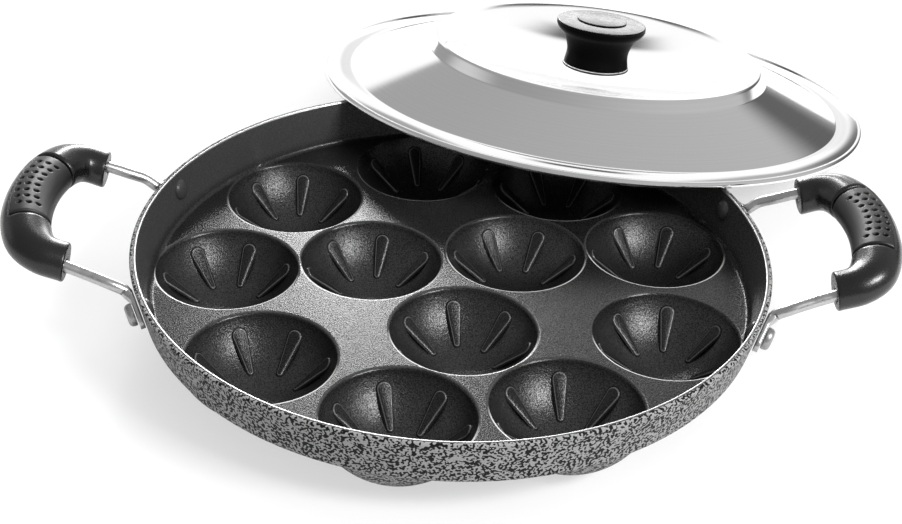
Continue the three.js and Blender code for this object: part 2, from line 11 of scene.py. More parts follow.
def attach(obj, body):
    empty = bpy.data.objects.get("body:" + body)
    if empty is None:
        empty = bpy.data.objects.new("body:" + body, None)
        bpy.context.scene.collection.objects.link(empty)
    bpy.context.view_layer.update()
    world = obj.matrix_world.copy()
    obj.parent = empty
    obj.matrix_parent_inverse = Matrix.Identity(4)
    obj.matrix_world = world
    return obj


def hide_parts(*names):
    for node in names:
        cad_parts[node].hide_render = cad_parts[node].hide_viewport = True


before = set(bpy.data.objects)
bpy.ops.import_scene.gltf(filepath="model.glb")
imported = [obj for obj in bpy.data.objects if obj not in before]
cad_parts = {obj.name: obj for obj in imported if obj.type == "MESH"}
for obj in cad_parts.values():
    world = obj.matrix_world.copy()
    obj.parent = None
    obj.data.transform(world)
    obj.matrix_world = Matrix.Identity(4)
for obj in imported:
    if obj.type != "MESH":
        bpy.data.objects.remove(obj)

scene = bpy.context.scene
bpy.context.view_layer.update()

# Camera: it stands over half a metre in front of the pan and looks down on it, tipped a little to one side.
# Its line of sight to the middle of the pan's plate falls on the named pixel of a frame of 902 by 524.
IMAGE_WIDTH = 902
IMAGE_HEIGHT = 524
FOCAL_PIXELS = 1601.2
SIGHT_PIXEL = (450.4, 278.9)
SIGHT_HEIGHT = 0.0201
CAMERA_DISTANCE = 0.58715
CAMERA_ELEVATION = math.radians(33.97)
CAMERA_ROLL = math.radians(2.733)
SENSOR_WIDTH = 36

backwards = Vector((0, -math.cos(CAMERA_ELEVATION), math.sin(CAMERA_ELEVATION)))
rightwards = Matrix.Rotation(CAMERA_ROLL, 3, backwards) @ Vector((1, 0, 0))
upwards = backwards.cross(rightwards)
camera = bpy.data.objects.new("camera", bpy.data.cameras.new("camera"))
camera.data.sensor_width = SENSOR_WIDTH
camera.data.lens = SENSOR_WIDTH * FOCAL_PIXELS / IMAGE_WIDTH
camera.data.shift_x = (IMAGE_WIDTH / 2 - SIGHT_PIXEL[0]) / IMAGE_WIDTH
camera.data.shift_y = (SIGHT_PIXEL[1] - IMAGE_HEIGHT / 2) / IMAGE_WIDTH
camera.data.clip_start = 0.01
camera.matrix_world = Matrix.Translation(backwards * CAMERA_DISTANCE + Vector((0, 0, SIGHT_HEIGHT))) @ Matrix(
    (rightwards, upwards, backwards)).transposed().to_4x4()
scene.collection.objects.link(camera)
scene.camera = camera
scene.view_settings.view_transform = "Standard"

# Studio: a white table before white paper, in a grey room that is lighter on the right. The panels are what
# the polished lid mirrors: a pale window on the left, a dark flag on the right, the paper, and marks in it.
# Two lamps stand behind the pan, one in front of it on the right, and one hangs over it.
TABLE_SIZE = 6
TABLE_WHITE = 0.9
TABLE_GLOW = 0.58
LEFT_AIR = 0.46
RIGHT_AIR = 0.74
BACKDROP = 1.48


def add(tree, kind, inputs=(), **settings):
    """A node of a kind, with its settings and its inputs, each a plain value or another node's output."""
    made = tree.nodes.new(kind)
    for name, value in settings.items():
        setattr(made, name, value)
    for name, value in dict(inputs).items():
        if isinstance(value, bpy.types.NodeSocket):
            tree.links.new(value, made.inputs[name])
        else:
            made.inputs[name].default_value = value
    return made


def maths(tree, operation, *values):
    """One step of arithmetic on numbers and sockets."""
    return add(tree, "ShaderNodeMath", enumerate(values), operation=operation).outputs[0]


table_mesh = bpy.data.meshes.new("table")
reach = TABLE_SIZE / 2
table_mesh.from_pydata([(-reach, -reach, 0), (reach, -reach, 0), (reach, reach, 0), (-reach, reach, 0)],
                       [], [(0, 1, 2, 3)])
table = bpy.data.objects.new("table", table_mesh)
scene.collection.objects.link(table)
table_paper = bpy.data.materials.new("table_paper")
table_paper.use_nodes = True
tree = table_paper.node_tree
paper = add(tree, "ShaderNodeBsdfDiffuse", {"Color": (TABLE_WHITE, TABLE_WHITE, TABLE_WHITE, 1)})
glow = add(tree, "ShaderNodeEmission", {"Color": (1, 1, 1, 1)})
share = maths(tree, "MULTIPLY", add(tree, "ShaderNodeLightPath").outputs["Is Camera Ray"], TABLE_GLOW)
white_table = add(tree, "ShaderNodeMixShader", {0: share, 1: paper.outputs[0], 2: glow.outputs[0]})
tree.links.new(white_table.outputs[0], tree.nodes["Material Output"].inputs["Surface"])
table_mesh.materials.append(table_paper)

studio = bpy.data.worlds.new("studio")
scene.world = studio
studio.use_nodes = True
tree = studio.node_tree
towards = add(tree, "ShaderNodeTexCoord").outputs["Generated"]
direction = add(tree, "ShaderNodeSeparateXYZ", {0: towards}).outputs
bearing = maths(tree, "DEGREES", maths(tree, "ARCTAN2", direction["X"], direction["Y"]))
elevation = maths(tree, "DEGREES", maths(tree, "ARCSINE", direction["Z"]))


def ramp(tree, value, low, high, to_low, to_high, easing="LINEAR"):
    """A number carried from one range to another and held at its ends."""
    ends = {"From Min": low, "From Max": high, "To Min": to_low, "To Max": to_high}
    return add(tree, "ShaderNodeMapRange", {"Value": value, **ends}, interpolation_type=easing).outputs[0]


def panel(tree, light, left, right, low, high, soft, level):
    """The room's light, changed to a level inside a window. Bearings are from straight back, to the right."""
    share = 1
    for value, start, stop in ((bearing, left, right), (elevation, low, high)):
        for edge, before in ((start, 0), (stop, 1)):
            side = ramp(tree, value, edge - soft, edge + soft, before, 1 - before, "SMOOTHSTEP")
            share = maths(tree, "MULTIPLY", share, side)
    return add(tree, "ShaderNodeMix", {"Factor": share, "A": light, "B": level}).outputs[0]


light = ramp(tree, direction["X"], -0.9, 1, LEFT_AIR, RIGHT_AIR, "SMOOTHSTEP")
light = panel(tree, light, left=-95, right=-58, low=6, high=32, soft=9, level=0.9)
light = panel(tree, light, left=20, right=62, low=0, high=18, soft=6, level=0.17)
light = panel(tree, light, left=-3, right=18, low=-80, high=43, soft=2, level=BACKDROP)
light = panel(tree, light, left=-32, right=21, low=-80, high=19.5, soft=2, level=BACKDROP)
light = panel(tree, light, left=5, right=10.5, low=19, high=25, soft=1.2, level=0.12)
light = panel(tree, light, left=-6, right=-1.8, low=2, high=10, soft=0.8, level=1.12)
light = panel(tree, light, left=14.5, right=20, low=2, high=9, soft=1, level=1.2)
camera_ray = add(tree, "ShaderNodeLightPath").outputs["Is Camera Ray"]
tree.links.new(maths(tree, "MAXIMUM", light, camera_ray), tree.nodes["Background"].inputs["Strength"])
tree.nodes["Background"].inputs["Color"].default_value = (1, 1, 1, 1)


def soft_box(name, azimuth, elevation, distance, width, height, watts):
    """A flat lamp that faces the pan from a direction, measured round from the right."""
    lamp = bpy.data.objects.new(name, bpy.data.lights.new(name, "AREA"))
    lamp.data.shape = "RECTANGLE"
    lamp.data.size = width
    lamp.data.size_y = height
    lamp.data.energy = watts
    turn, rise = math.radians(azimuth), math.radians(elevation)
    towards = Vector((math.cos(turn) * math.cos(rise), math.sin(turn) * math.cos(rise), math.sin(rise)))
    lamp.location = towards * distance
    lamp.rotation_euler = towards.to_track_quat("Z", "Y").to_euler()
    scene.collection.objects.link(lamp)
    return lamp


back_box = soft_box("back_box", azimuth=95.5, elevation=22, distance=1.6, width=0.18, height=0.8, watts=15)
low_box = soft_box("low_box", azimuth=86, elevation=9, distance=1.6, width=0.7, height=0.45, watts=7)
front_box = soft_box("front_box", azimuth=-38, elevation=42, distance=1.3, width=0.4, height=0.3, watts=17)
top_box = soft_box("top_box", azimuth=60, elevation=75, distance=1.5, width=1.2, height=1.2, watts=7)
top_box.visible_glossy = False  # it lights the pieces and isn't mirrored in them

# Pan: one sheet of aluminium pressed into nine outer and three inner cups, with a flared wall and a rounded
# rim. Black non-stick coat inside, speckled paint outside, and a bare turned edge on the rim.
SHEET = 0.0024
CUP_RADIUS = 0.026
CUP_DEPTH = 0.0182
CUP_FOOT_RADIUS = 0.0055
MOUTH_FILLET = 0.0016
OUTER_CUPS = 9
INNER_CUPS = 3
OUTER_WEB = 0.0041
INNER_WEB = 0.0027
OUTER_PHASE = math.radians(-60.3)
INNER_PHASE = math.radians(-80)
PLATE_MARGIN = 0.0009
WALL_HEIGHT = 0.0168
WALL_FLARE = math.radians(12.4)
OUTSIDE_CORNER = 0.0034
INSIDE_CORNER = 0.002
RIM_OUTSIDE_ROUND = 0.0008
RIM_INSIDE_ROUND = 0.0005
BARE_RIM_WIDTH = 0.0007
RIM_GROOVE = 0.0004
UNDERSIDE_BLEND = 0.0012
# Depth of the band under the plate where the mouths' edges carry a painted highlight
MOUTH_HIGHLIGHT_BAND = 0.0004
WALL_SEGMENTS = 240
CUP_SEGMENTS = 96
CUP_RINGS = 16
FILLET_RINGS = 8
UNDERSIDE_RINGS = 14
UNDERSIDE_REACH = math.radians(72)  # how far up a cup's outside the rings go
CORNER_SPLIT = math.radians(40)  # where the outside corner passes from the wall's mesh to the underside's
UPPER_CORNER_RINGS = 4
LOWER_CORNER_RINGS = 6
FINE = 1000  # plan points are joined up in millimetres

outer_ring = (CUP_RADIUS + OUTER_WEB / 2) / math.sin(math.pi / OUTER_CUPS)
inner_ring = (CUP_RADIUS + INNER_WEB / 2) / math.sin(math.pi / INNER_CUPS)
cup_sphere = (CUP_RADIUS ** 2 + CUP_DEPTH ** 2) / (2 * CUP_DEPTH)
cup_outside = cup_sphere + SHEET
plate_top = CUP_DEPTH + SHEET - cup_outside + math.sqrt(cup_outside ** 2 - CUP_FOOT_RADIUS ** 2)
plate_bottom = plate_top - SHEET
cup_centre = plate_top + cup_sphere - CUP_DEPTH
rim_top = plate_top + WALL_HEIGHT
wall_slope = math.tan(WALL_FLARE)
half_turn = math.tan(math.pi / 4 - WALL_FLARE / 2)  # a fillet's reach along the plate, for a radius of one
outside_centre = (outer_ring + CUP_RADIUS + PLATE_MARGIN - (OUTSIDE_CORNER - SHEET) * math.cos(WALL_FLARE),
                  plate_bottom + OUTSIDE_CORNER)
inside_centre = (outside_centre[0] + (OUTSIDE_CORNER - SHEET - INSIDE_CORNER) * half_turn,
                 plate_top + INSIDE_CORNER)
cup_rows = ((outer_ring, OUTER_CUPS, OUTER_PHASE), (inner_ring, INNER_CUPS, INNER_PHASE))
cup_places = [(radius * math.cos(turn), radius * math.sin(turn)) for radius, count, first in cup_rows
              for turn in (first + math.tau * i / count for i in range(count))]
# The mouth's fillet starts on the plate this far from the cup's middle, and meets the cup at this slope
mouth_reach = math.sqrt((cup_sphere + MOUTH_FILLET) ** 2 - (cup_centre - plate_top + MOUTH_FILLET) ** 2)
mouth_slope = math.asin(mouth_reach / (cup_sphere + MOUTH_FILLET))


def wall_radius(height, offset):
    """Radius of the wall at a height, on its outside or, with a minus sign, on its inside."""
    foot = outside_centre[0] + OUTSIDE_CORNER / math.cos(WALL_FLARE)
    return foot + (height - outside_centre[1]) * wall_slope + (offset - SHEET / 2) / math.cos(WALL_FLARE)


def inside_height(x, y):
    """Height of the coated side over a point of the plan: plate, corner fillet and cups."""
    out = math.hypot(x, y) - inside_centre[0]
    base = plate_top
    if out > 0:
        base = inside_centre[1] - math.sqrt(max(INSIDE_CORNER ** 2 - out ** 2, 0))
    for cup_x, cup_y in cup_places:
        away = math.hypot(x - cup_x, y - cup_y)
        if away < cup_sphere * math.sin(mouth_slope):
            base += cup_centre - math.sqrt(cup_sphere ** 2 - away ** 2) - plate_top
        elif away < mouth_reach:
            base += math.sqrt(MOUTH_FILLET ** 2 - (away - mouth_reach) ** 2) - MOUTH_FILLET
    return base


def outside_height(x, y):
    """Height of the painted underside over a point of the plan: plate, corner and the cups' outsides."""
    out = math.hypot(x, y) - outside_centre[0]
    height = plate_bottom
    if out > 0:
        height = outside_centre[1] - math.sqrt(max(OUTSIDE_CORNER ** 2 - out ** 2, 0))
    for cup_x, cup_y in cup_places:
        away = math.hypot(x - cup_x, y - cup_y)
        if away < cup_outside:
            cup = cup_centre - math.sqrt(cup_outside ** 2 - away ** 2)
            near = max(UNDERSIDE_BLEND - abs(height - cup), 0) / UNDERSIDE_BLEND
            height = min(height, cup) - near ** 2 * UNDERSIDE_BLEND / 4
    return max(height, 0)


def circle(radius, count, centre=(0, 0)):
    """Plan points of a circle."""
    turns = [math.tau * i / count for i in range(count)]
    return [(centre[0] + radius * math.cos(a), centre[1] + radius * math.sin(a)) for a in turns]


def draped(mesh, plan, height):
    """Faces over plan points, at the heights that a function gives."""
    joined = delaunay_2d_cdt([Vector(point) * FINE for point in plan], [], [], 0, 1e-6)
    flat = [point / FINE for point in joined[0]]
    corners = [mesh.verts.new((point.x, point.y, height(point.x, point.y))) for point in flat]
    for face in joined[2]:
        mesh.faces.new([corners[i] for i in face])


def turned(mesh, profile, segments):
    """Faces of a profile of radius and height turned about Z. A point on the axis closes an end."""
    rings = []
    for radius, height in profile:
        if radius < 1e-9:
            rings.append([mesh.verts.new((0, 0, height))] * segments)
        else:
            rings.append([mesh.verts.new((x, y, height)) for x, y in circle(radius, segments)])
    for low, high in zip(rings, rings[1:]):
        for i in range(segments):
            j = (i + 1) % segments
            mesh.faces.new(dict.fromkeys((low[i], low[j], high[j], high[i])))


def rounded(corners, steps=4):
    """A profile through corners of radius, height and rounding, with an arc for each rounded corner."""
    profile = []
    for i, (radius, height, rounding) in enumerate(corners):
        here = Vector((radius, height))
        if not rounding:
            profile.append((radius, height))
            continue
        before = (Vector(corners[i - 1][:2]) - here).normalized()
        after = (Vector(corners[i + 1][:2]) - here).normalized()
        half = before.angle(after) / 2
        centre = here + (before + after).normalized() * rounding / math.sin(half)
        first = here + before * rounding / math.tan(half) - centre
        last = here + after * rounding / math.tan(half) - centre
        sweep = math.atan2(first.x * last.y - first.y * last.x, first.dot(last))
        for k in range(steps + 1):
            spoke = Matrix.Rotation(sweep * k / steps, 2) @ first
            profile.append((centre.x + spoke.x, centre.y + spoke.y))
    return profile


def finished(name, mesh, materials):
    """An object from a bmesh: doubles merged, faces outwards, shaded smooth."""
    bmesh.ops.remove_doubles(mesh, verts=mesh.verts[:], dist=2e-6)
    bmesh.ops.recalc_face_normals(mesh, faces=mesh.faces[:])
    for face in mesh.faces:
        face.smooth = True
    data = bpy.data.meshes.new(name)
    mesh.to_mesh(data)
    mesh.free()
    for finish in materials:
        data.materials.append(finish)
    piece = bpy.data.objects.new(name, data)
    scene.collection.objects.link(piece)
    return piece


def new_finish(name):
    """A material with its node tree and its main shader."""
    finish = bpy.data.materials.new(name)
    finish.use_nodes = True
    return finish, finish.node_tree, finish.node_tree.nodes["Principled BSDF"]


def grain(tree, scale, detail=2, distortion=0, vector=None):
    """Noise on the piece's own coordinates, with so many grains to the metre."""
    if vector is None:
        vector = add(tree, "ShaderNodeTexCoord").outputs["Object"]
    made = add(tree, "ShaderNodeTexNoise",
               {"Vector": vector, "Scale": scale, "Detail": detail, "Distortion": distortion})
    return made.outputs["Fac"]


def shade(tree, value, dark, light):
    """A grey between two, where the number goes from zero to one."""
    greys = {"A": (dark, dark, dark, 1), "B": (light, light, light, 1)}
    return add(tree, "ShaderNodeMix", {"Factor": value, **greys}, data_type="RGBA").outputs["Result"]


def relief(tree, height, depth):
    """Bumps of a depth in metres."""
    return add(tree, "ShaderNodeBump", {"Height": height, "Distance": depth, "Strength": 1}).outputs["Normal"]


def non_stick_coat():
    """The pan's black coat: it sparkles, more in the cups than on the plate, and has painted highlights on
    edges and painted shade on the ribs.
    """
    finish, tree, shader = new_finish("non_stick_coat")
    here = add(tree, "ShaderNodeTexCoord").outputs
    place = add(tree, "ShaderNodeSeparateXYZ", {0: here["Object"]}).outputs
    to_back = add(tree, "ShaderNodeSeparateXYZ", {0: here["Normal"]}).outputs["Y"]
    painted_rib_light = add(tree, "ShaderNodeAttribute", attribute_name="painted_rib_light").outputs["Fac"]
    flecks = grain(tree, 2000, detail=2)
    up_wall = ramp(tree, place["Z"], plate_top, plate_top + INSIDE_CORNER * 2, 0, 0.035)
    in_cup = ramp(tree, place["Z"], plate_top - MOUTH_FILLET * 2, plate_top - MOUTH_FILLET, 1, 0)
    # The mouths' edges carry a painted highlight where they face the back, fainter under the lid as painted
    # shade
    mouth_highlight = ramp(tree, place["Z"], plate_top - MOUTH_HIGHLIGHT_BAND, plate_top - MOUTH_HIGHLIGHT_BAND / 2, 0, 1)
    for share in (ramp(tree, place["Z"], plate_top - MOUTH_HIGHLIGHT_BAND / 10, plate_top - MOUTH_HIGHLIGHT_BAND / 40, 1, 0),
                  ramp(tree, to_back, 0.03, 0.2, 0.04, 1), ramp(tree, place["Y"], 0.03, 0.06, 1, 0.1)):
        mouth_highlight = maths(tree, "MULTIPLY", mouth_highlight, share)
    pale = maths(tree, "MAXIMUM", up_wall, mouth_highlight)
    # The ribs' painted highlight pales the coat on their edges
    pale = maths(tree, "MAXIMUM", pale, maths(tree, "MULTIPLY", painted_rib_light, 0.1))
    tree.links.new(shade(tree, pale, 0.008, 0.7), shader.inputs["Base Color"])
    plate_sparks = ramp(tree, flecks, 0.42, 0.58, 0.14, 0.46)
    cup_sparks = ramp(tree, flecks, 0.42, 0.58, 0.24, 0.74)
    # The ribs' painted shade dulls the coat's shine in the crease round them and on their tops
    shine = maths(tree, "MULTIPLY", ramp(tree, in_cup, 0, 1, plate_sparks, cup_sparks),
                  ramp(tree, painted_rib_light, -1, 0, 0.15, 1))
    tree.links.new(shine, shader.inputs["Specular IOR Level"])
    dull = maths(tree, "MULTIPLY_ADD", in_cup, 0.03, ramp(tree, flecks, 0.3, 0.7, 0.23, 0.32))
    tree.links.new(dull, shader.inputs["Roughness"])
    bumps = maths(tree, "MULTIPLY", flecks, ramp(tree, in_cup, 0, 1, 0.4, 1))
    tree.links.new(relief(tree, bumps, 0.00014), shader.inputs["Normal"])
    return finish


def speckled_paint():
    """The outside's paint, black blots over light grey."""
    finish, tree, shader = new_finish("speckled_paint")
    blots = ramp(tree, grain(tree, 1150, detail=0.4, distortion=0.2), 0.475, 0.51, 0, 1)
    fleck = grain(tree, 2500)
    light = maths(tree, "MULTIPLY", blots, ramp(tree, fleck, 0.3, 0.7, 0.75, 1))
    tree.links.new(shade(tree, light, 0.004, 0.28), shader.inputs["Base Color"])
    shader.inputs["Specular IOR Level"].default_value = 0.1
    tree.links.new(ramp(tree, blots, 0, 1, 0.5, 0.65), shader.inputs["Roughness"])
    tree.links.new(relief(tree, blots, 0.00008), shader.inputs["Normal"])
    return finish


def worn_metal(name, scale, detail, greys, roughness):
    """Bare metal whose grey and roughness each go between two values with its marks."""
    finish, tree, shader = new_finish(name)
    marks = grain(tree, scale, detail)
    tree.links.new(shade(tree, marks, *greys), shader.inputs["Base Color"])
    tree.links.new(ramp(tree, marks, 0.3, 0.7, *roughness), shader.inputs["Roughness"])
    shader.inputs["Metallic"].default_value = 1
    return finish


coat = non_stick_coat()
bare = worn_metal("bare_aluminium", scale=900, detail=3, greys=(0.28, 0.36), roughness=(0.3, 0.42))
shell = bmesh.new()
plan = []
cup_rings = [cup_sphere * math.sin(mouth_slope * i / CUP_RINGS) for i in range(1, CUP_RINGS + 1)]
cup_rings += [mouth_reach - MOUTH_FILLET * math.sin(mouth_slope * (1 - i / FILLET_RINGS))
              for i in range(1, FILLET_RINGS + 1)]
for place in cup_places:
    plan.append(place)
    for ring in cup_rings:
        plan += circle(ring, CUP_SEGMENTS if ring > CUP_RADIUS / 3 else CUP_SEGMENTS // 4, place)
fillet_end = math.pi / 2 - WALL_FLARE
for i in range(FILLET_RINGS + 1):
    ring = circle(inside_centre[0] + INSIDE_CORNER * math.sin(fillet_end * i / FILLET_RINGS), WALL_SEGMENTS)
    plan += [p for p in ring if all(math.dist(p, c) > mouth_reach + MOUTH_FILLET / 4 for c in cup_places)]
draped(shell, plan, inside_height)
for face in shell.faces:
    face.material_index = 0
inside_faces = set(shell.faces)
bare_edge = wall_radius(rim_top, -SHEET / 2) + BARE_RIM_WIDTH
wall = [(inside_centre[0] + INSIDE_CORNER * math.cos(WALL_FLARE),
         inside_centre[1] - INSIDE_CORNER * math.sin(WALL_FLARE), 0),
        (wall_radius(rim_top, -SHEET / 2), rim_top, RIM_INSIDE_ROUND),
        (bare_edge, rim_top, RIM_GROOVE / 4),
        (bare_edge + RIM_GROOVE / 2, rim_top - RIM_GROOVE / 2, 0),
        (bare_edge + RIM_GROOVE, rim_top, RIM_GROOVE / 4),
        (wall_radius(rim_top, SHEET / 2), rim_top, RIM_OUTSIDE_ROUND),
        (outside_centre[0] + OUTSIDE_CORNER * math.cos(WALL_FLARE),
         outside_centre[1] - OUTSIDE_CORNER * math.sin(WALL_FLARE), 0)]
corner_steps = [WALL_FLARE + (CORNER_SPLIT - WALL_FLARE) * i / UPPER_CORNER_RINGS
                for i in range(1, UPPER_CORNER_RINGS + 1)]
corner = [(outside_centre[0] + OUTSIDE_CORNER * math.cos(a), outside_centre[1] - OUTSIDE_CORNER * math.sin(a))
          for a in corner_steps]
turned(shell, rounded(wall) + corner, WALL_SEGMENTS)
for face in shell.faces:
    if face not in inside_faces:
        middle = face.calc_center_median()
        out = math.hypot(middle.x, middle.y)
        on_rim = middle.z > rim_top - RIM_INSIDE_ROUND and out < bare_edge
        face.material_index = 2 if on_rim else 0 if out < wall_radius(middle.z, 0) else 1
wall_faces = set(shell.faces)
plan = circle(corner[-1][0], WALL_SEGMENTS)
for i in range(1, LOWER_CORNER_RINGS + 1):
    turn = (math.pi / 2 - CORNER_SPLIT) * (1 - i / LOWER_CORNER_RINGS)
    plan += circle(outside_centre[0] + OUTSIDE_CORNER * math.sin(turn), WALL_SEGMENTS // 2)
foot_slope = math.asin(CUP_FOOT_RADIUS / cup_outside)
for place in cup_places:
    plan.append(place)
    for i in range(UNDERSIDE_RINGS + 1):
        ring = cup_outside * math.sin(foot_slope + (UNDERSIDE_REACH - foot_slope) * i / UNDERSIDE_RINGS)
        plan += [p for p in circle(ring, CUP_SEGMENTS * 3 // 4, place) if math.hypot(*p) < outside_centre[0]
                 and min(cup_places, key=lambda c: math.dist(p, c)) == place]
draped(shell, plan, outside_height)
for face in shell.faces:
    if face not in wall_faces:
        face.material_index = 1
pan_shell = finished("pan_shell", shell, [coat, speckled_paint(), bare])
for face in pan_shell.data.polygons:  # the plate itself is flat
    if all(abs(pan_shell.data.vertices[i].co.z - plate_top) < 1e-7 for i in face.vertices):
        face.use_smooth = False
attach(pan_shell, "pan")
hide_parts("pan_body")

# Ribs: seven raised bars in each cup, wider towards the mouth, pressed with the sheet and coated with it.
# Outer cups have one rib that points away from the pan's middle, inner cups one that points to it.
RIBS = 7
RIB_FOOT_RADIUS = 0.011
RIB_HEAD_MARGIN = 0.002
RIB_FOOT_ROUND = 0.0011
RIB_HEAD_ROUND = 0.0026
RIB_ROUND_STEPS = 12
# Inset of each layer of a rib from its outline, its height over the cup, and its painted light: above zero a
# painted highlight that pales the rib's edges, below zero painted shade that dulls the coat, in a skirt just
# over the cup in the crease round the rib and on its top.
RIB_LAYERS = ((-0.0004, -0.0003, -1), (-0.0004, 0.00004, -1), (-0.0002, 0.00006, -1), (0, 0.0001, -1),
              (0.00005, 0.00035, 0.4), (0.00014, 0.00056, 1), (0.00034, 0.00064, 1), (0.0006, 0.00066, -0.6))


def new_tree(name, sockets):
    """A geometry tree with named inputs, each with its kind and its value."""
    tree = bpy.data.node_groups.new(name, "GeometryNodeTree")
    tree.interface.new_socket("Geometry", in_out="INPUT", socket_type="NodeSocketGeometry")
    tree.interface.new_socket("Geometry", in_out="OUTPUT", socket_type="NodeSocketGeometry")
    for socket, (kind, value) in sockets.items():
        tree.interface.new_socket(socket, in_out="INPUT", socket_type="NodeSocket" + kind)
    return tree, add(tree, "NodeGroupInput").outputs


def grow(piece, tree, sockets):
    """Runs a geometry tree on a piece and keeps the mesh that it makes."""
    modifier = piece.modifiers.new(tree.name, "NODES")
    modifier.node_group = tree
    for item in tree.interface.items_tree:
        if item.in_out == "INPUT" and item.name in sockets:
            modifier[item.identifier] = sockets[item.name][1]
    state = bpy.context.evaluated_depsgraph_get()
    made = bpy.data.meshes.new_from_object(piece.evaluated_get(state), depsgraph=state)
    piece.modifiers.clear()
    piece.data = made


def on_points(tree, count, position, rotation, instance):
    """Copies of a geometry at so many places, each with its turn."""
    points = add(tree, "GeometryNodePoints", {"Count": count, "Position": position}).outputs[0]
    turns = add(tree, "FunctionNodeEulerToRotation", {0: rotation}).outputs[0]
    copies = {"Points": points, "Instance": instance, "Rotation": turns}
    return add(tree, "GeometryNodeInstanceOnPoints", copies).outputs[0]


def vector_of(tree, x, y, z):
    """A vector from three numbers or sockets."""
    return add(tree, "ShaderNodeCombineXYZ", {0: x, 1: y, 2: z}).outputs[0]


def ring_of_copies(tree, count, radius, first, own_turn, instance):
    """Copies of a geometry round the pan's axis, each turned with its place."""
    step = maths(tree, "DIVIDE", math.tau, count)
    angle = maths(tree, "MULTIPLY_ADD", add(tree, "GeometryNodeInputIndex").outputs[0], step, first)
    place = vector_of(tree, maths(tree, "MULTIPLY", radius, maths(tree, "COSINE", angle)),
                      maths(tree, "MULTIPLY", radius, maths(tree, "SINE", angle)), 0)
    return on_points(tree, count, place, vector_of(tree, 0, 0, maths(tree, "ADD", angle, own_turn)), instance)


rib_low = math.asin(RIB_FOOT_RADIUS / cup_sphere)
rib_length = cup_sphere * (math.asin((CUP_RADIUS - RIB_HEAD_MARGIN) / cup_sphere) - rib_low)
rib_taper = math.asin((RIB_HEAD_ROUND - RIB_FOOT_ROUND) / (rib_length - RIB_HEAD_ROUND - RIB_FOOT_ROUND))
rib_outline = []
for centre, radius, start, stop in (
        (rib_length - RIB_HEAD_ROUND, RIB_HEAD_ROUND, -math.pi / 2 - rib_taper, math.pi / 2 + rib_taper),
        (RIB_FOOT_ROUND, RIB_FOOT_ROUND, math.pi / 2 + rib_taper, math.pi * 1.5 - rib_taper)):
    rib_outline += [(centre, radius, start + (stop - start) * i / RIB_ROUND_STEPS)
                    for i in range(RIB_ROUND_STEPS + 1)]
rib = bmesh.new()
# Each layer carries its painted light from the table: highlight on the edges, shade in the crease and on the
# top
painted_rib_light = rib.verts.layers.float.new("painted_rib_light")
rib_rings = []
for inset, height, painted_light in RIB_LAYERS:
    ring = []
    for centre, radius, angle in rib_outline:
        polar = rib_low + (centre + (radius - inset) * math.cos(angle)) / cup_sphere
        side = (radius - inset) * math.sin(angle) / cup_sphere
        reach = (cup_sphere - height) * math.cos(side)
        ring.append(rib.verts.new((reach * math.sin(polar), (cup_sphere - height) * math.sin(side),
                                   cup_centre - reach * math.cos(polar))))
        ring[-1][painted_rib_light] = painted_light
    rib_rings.append(ring)
for low, high in zip(rib_rings, rib_rings[1:]):
    for i in range(len(low)):
        j = (i + 1) % len(low)
        rib.faces.new((low[i], low[j], high[j], high[i]))
top = rib_rings[-1]
for i in range(len(top) // 2 - 1):
    rib.faces.new((top[i], top[i + 1], top[-2 - i], top[-1 - i]))
rib_inputs = {"Ribs": ("Int", RIBS), "Outer cups": ("Int", OUTER_CUPS), "Inner cups": ("Int", INNER_CUPS),
              "Outer ring": ("Float", outer_ring), "Inner ring": ("Float", inner_ring),
              "Outer phase": ("Float", OUTER_PHASE), "Inner phase": ("Float", INNER_PHASE),
              "Finish": ("Material", coat)}
tree, given = new_tree("cup_ribs", rib_inputs)
one_cup = ring_of_copies(tree, given["Ribs"], 0, 0, 0, given["Geometry"])
both = add(tree, "GeometryNodeJoinGeometry")
for ring, own_turn in (("Outer", 0), ("Inner", math.pi)):
    cups = [given[f"{ring} {size}"] for size in ("cups", "ring", "phase")]
    tree.links.new(ring_of_copies(tree, *cups, own_turn, one_cup), both.inputs[0])
real = add(tree, "GeometryNodeRealizeInstances", {0: both.outputs[0]})
coated = add(tree, "GeometryNodeSetMaterial", {"Geometry": real.outputs[0], "Material": given["Finish"]})
add(tree, "NodeGroupOutput", {0: coated.outputs[0]})
cup_ribs = finished("cup_ribs", rib, [coat])
grow(cup_ribs, tree, rib_inputs)
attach(cup_ribs, "pan")

# Rivets: two at each handle, through the rod's flattened end and the wall. The heads outside are bare
# aluminium discs, and the domes inside are under the pan's coat.
RIVET_HEAD_RADIUS = 0.004
RIVET_HEAD_HEIGHT = 0.0028
RIVET_DOME_HEIGHT = 0.002
RIVET_EDGE = 0.0016
RIVET_DROP = 0.007
RIVET_ANGLE = math.radians(21)
RIGHT_TURN = math.radians(0.5)
LEFT_TURN = math.radians(181.5)
TAB_THICKNESS = 0.0018
GAP = 0.0003
RIVET_SEGMENTS = 40
DOME_RINGS = 10

rivet_height = rim_top - RIVET_DROP
head_seat = 2 * GAP + TAB_THICKNESS
head_top = head_seat + RIVET_HEAD_HEIGHT
rivet = bmesh.new()
inside_mark = rivet.faces.layers.bool.new("inside_dome")
turned(rivet, rounded([(0, head_seat, 0), (RIVET_HEAD_RADIUS, head_seat, RIVET_EDGE / 4),
                       (RIVET_HEAD_RADIUS, head_top, RIVET_EDGE), (0, head_top, 0)]), RIVET_SEGMENTS)
outer_heads = set(rivet.faces)
dome = [(RIVET_HEAD_RADIUS * math.cos(a), -SHEET - RIVET_DOME_HEIGHT * math.sin(a))
        for a in (math.pi / 2 * i / DOME_RINGS for i in range(DOME_RINGS))]
dome_root = -SHEET * 0.9  # just inside the wall
turned(rivet, [(0, dome_root), (RIVET_HEAD_RADIUS, dome_root)] + dome + [(0, -SHEET - RIVET_DOME_HEIGHT)],
       RIVET_SEGMENTS)
for face in rivet.faces:
    face[inside_mark] = face not in outer_heads

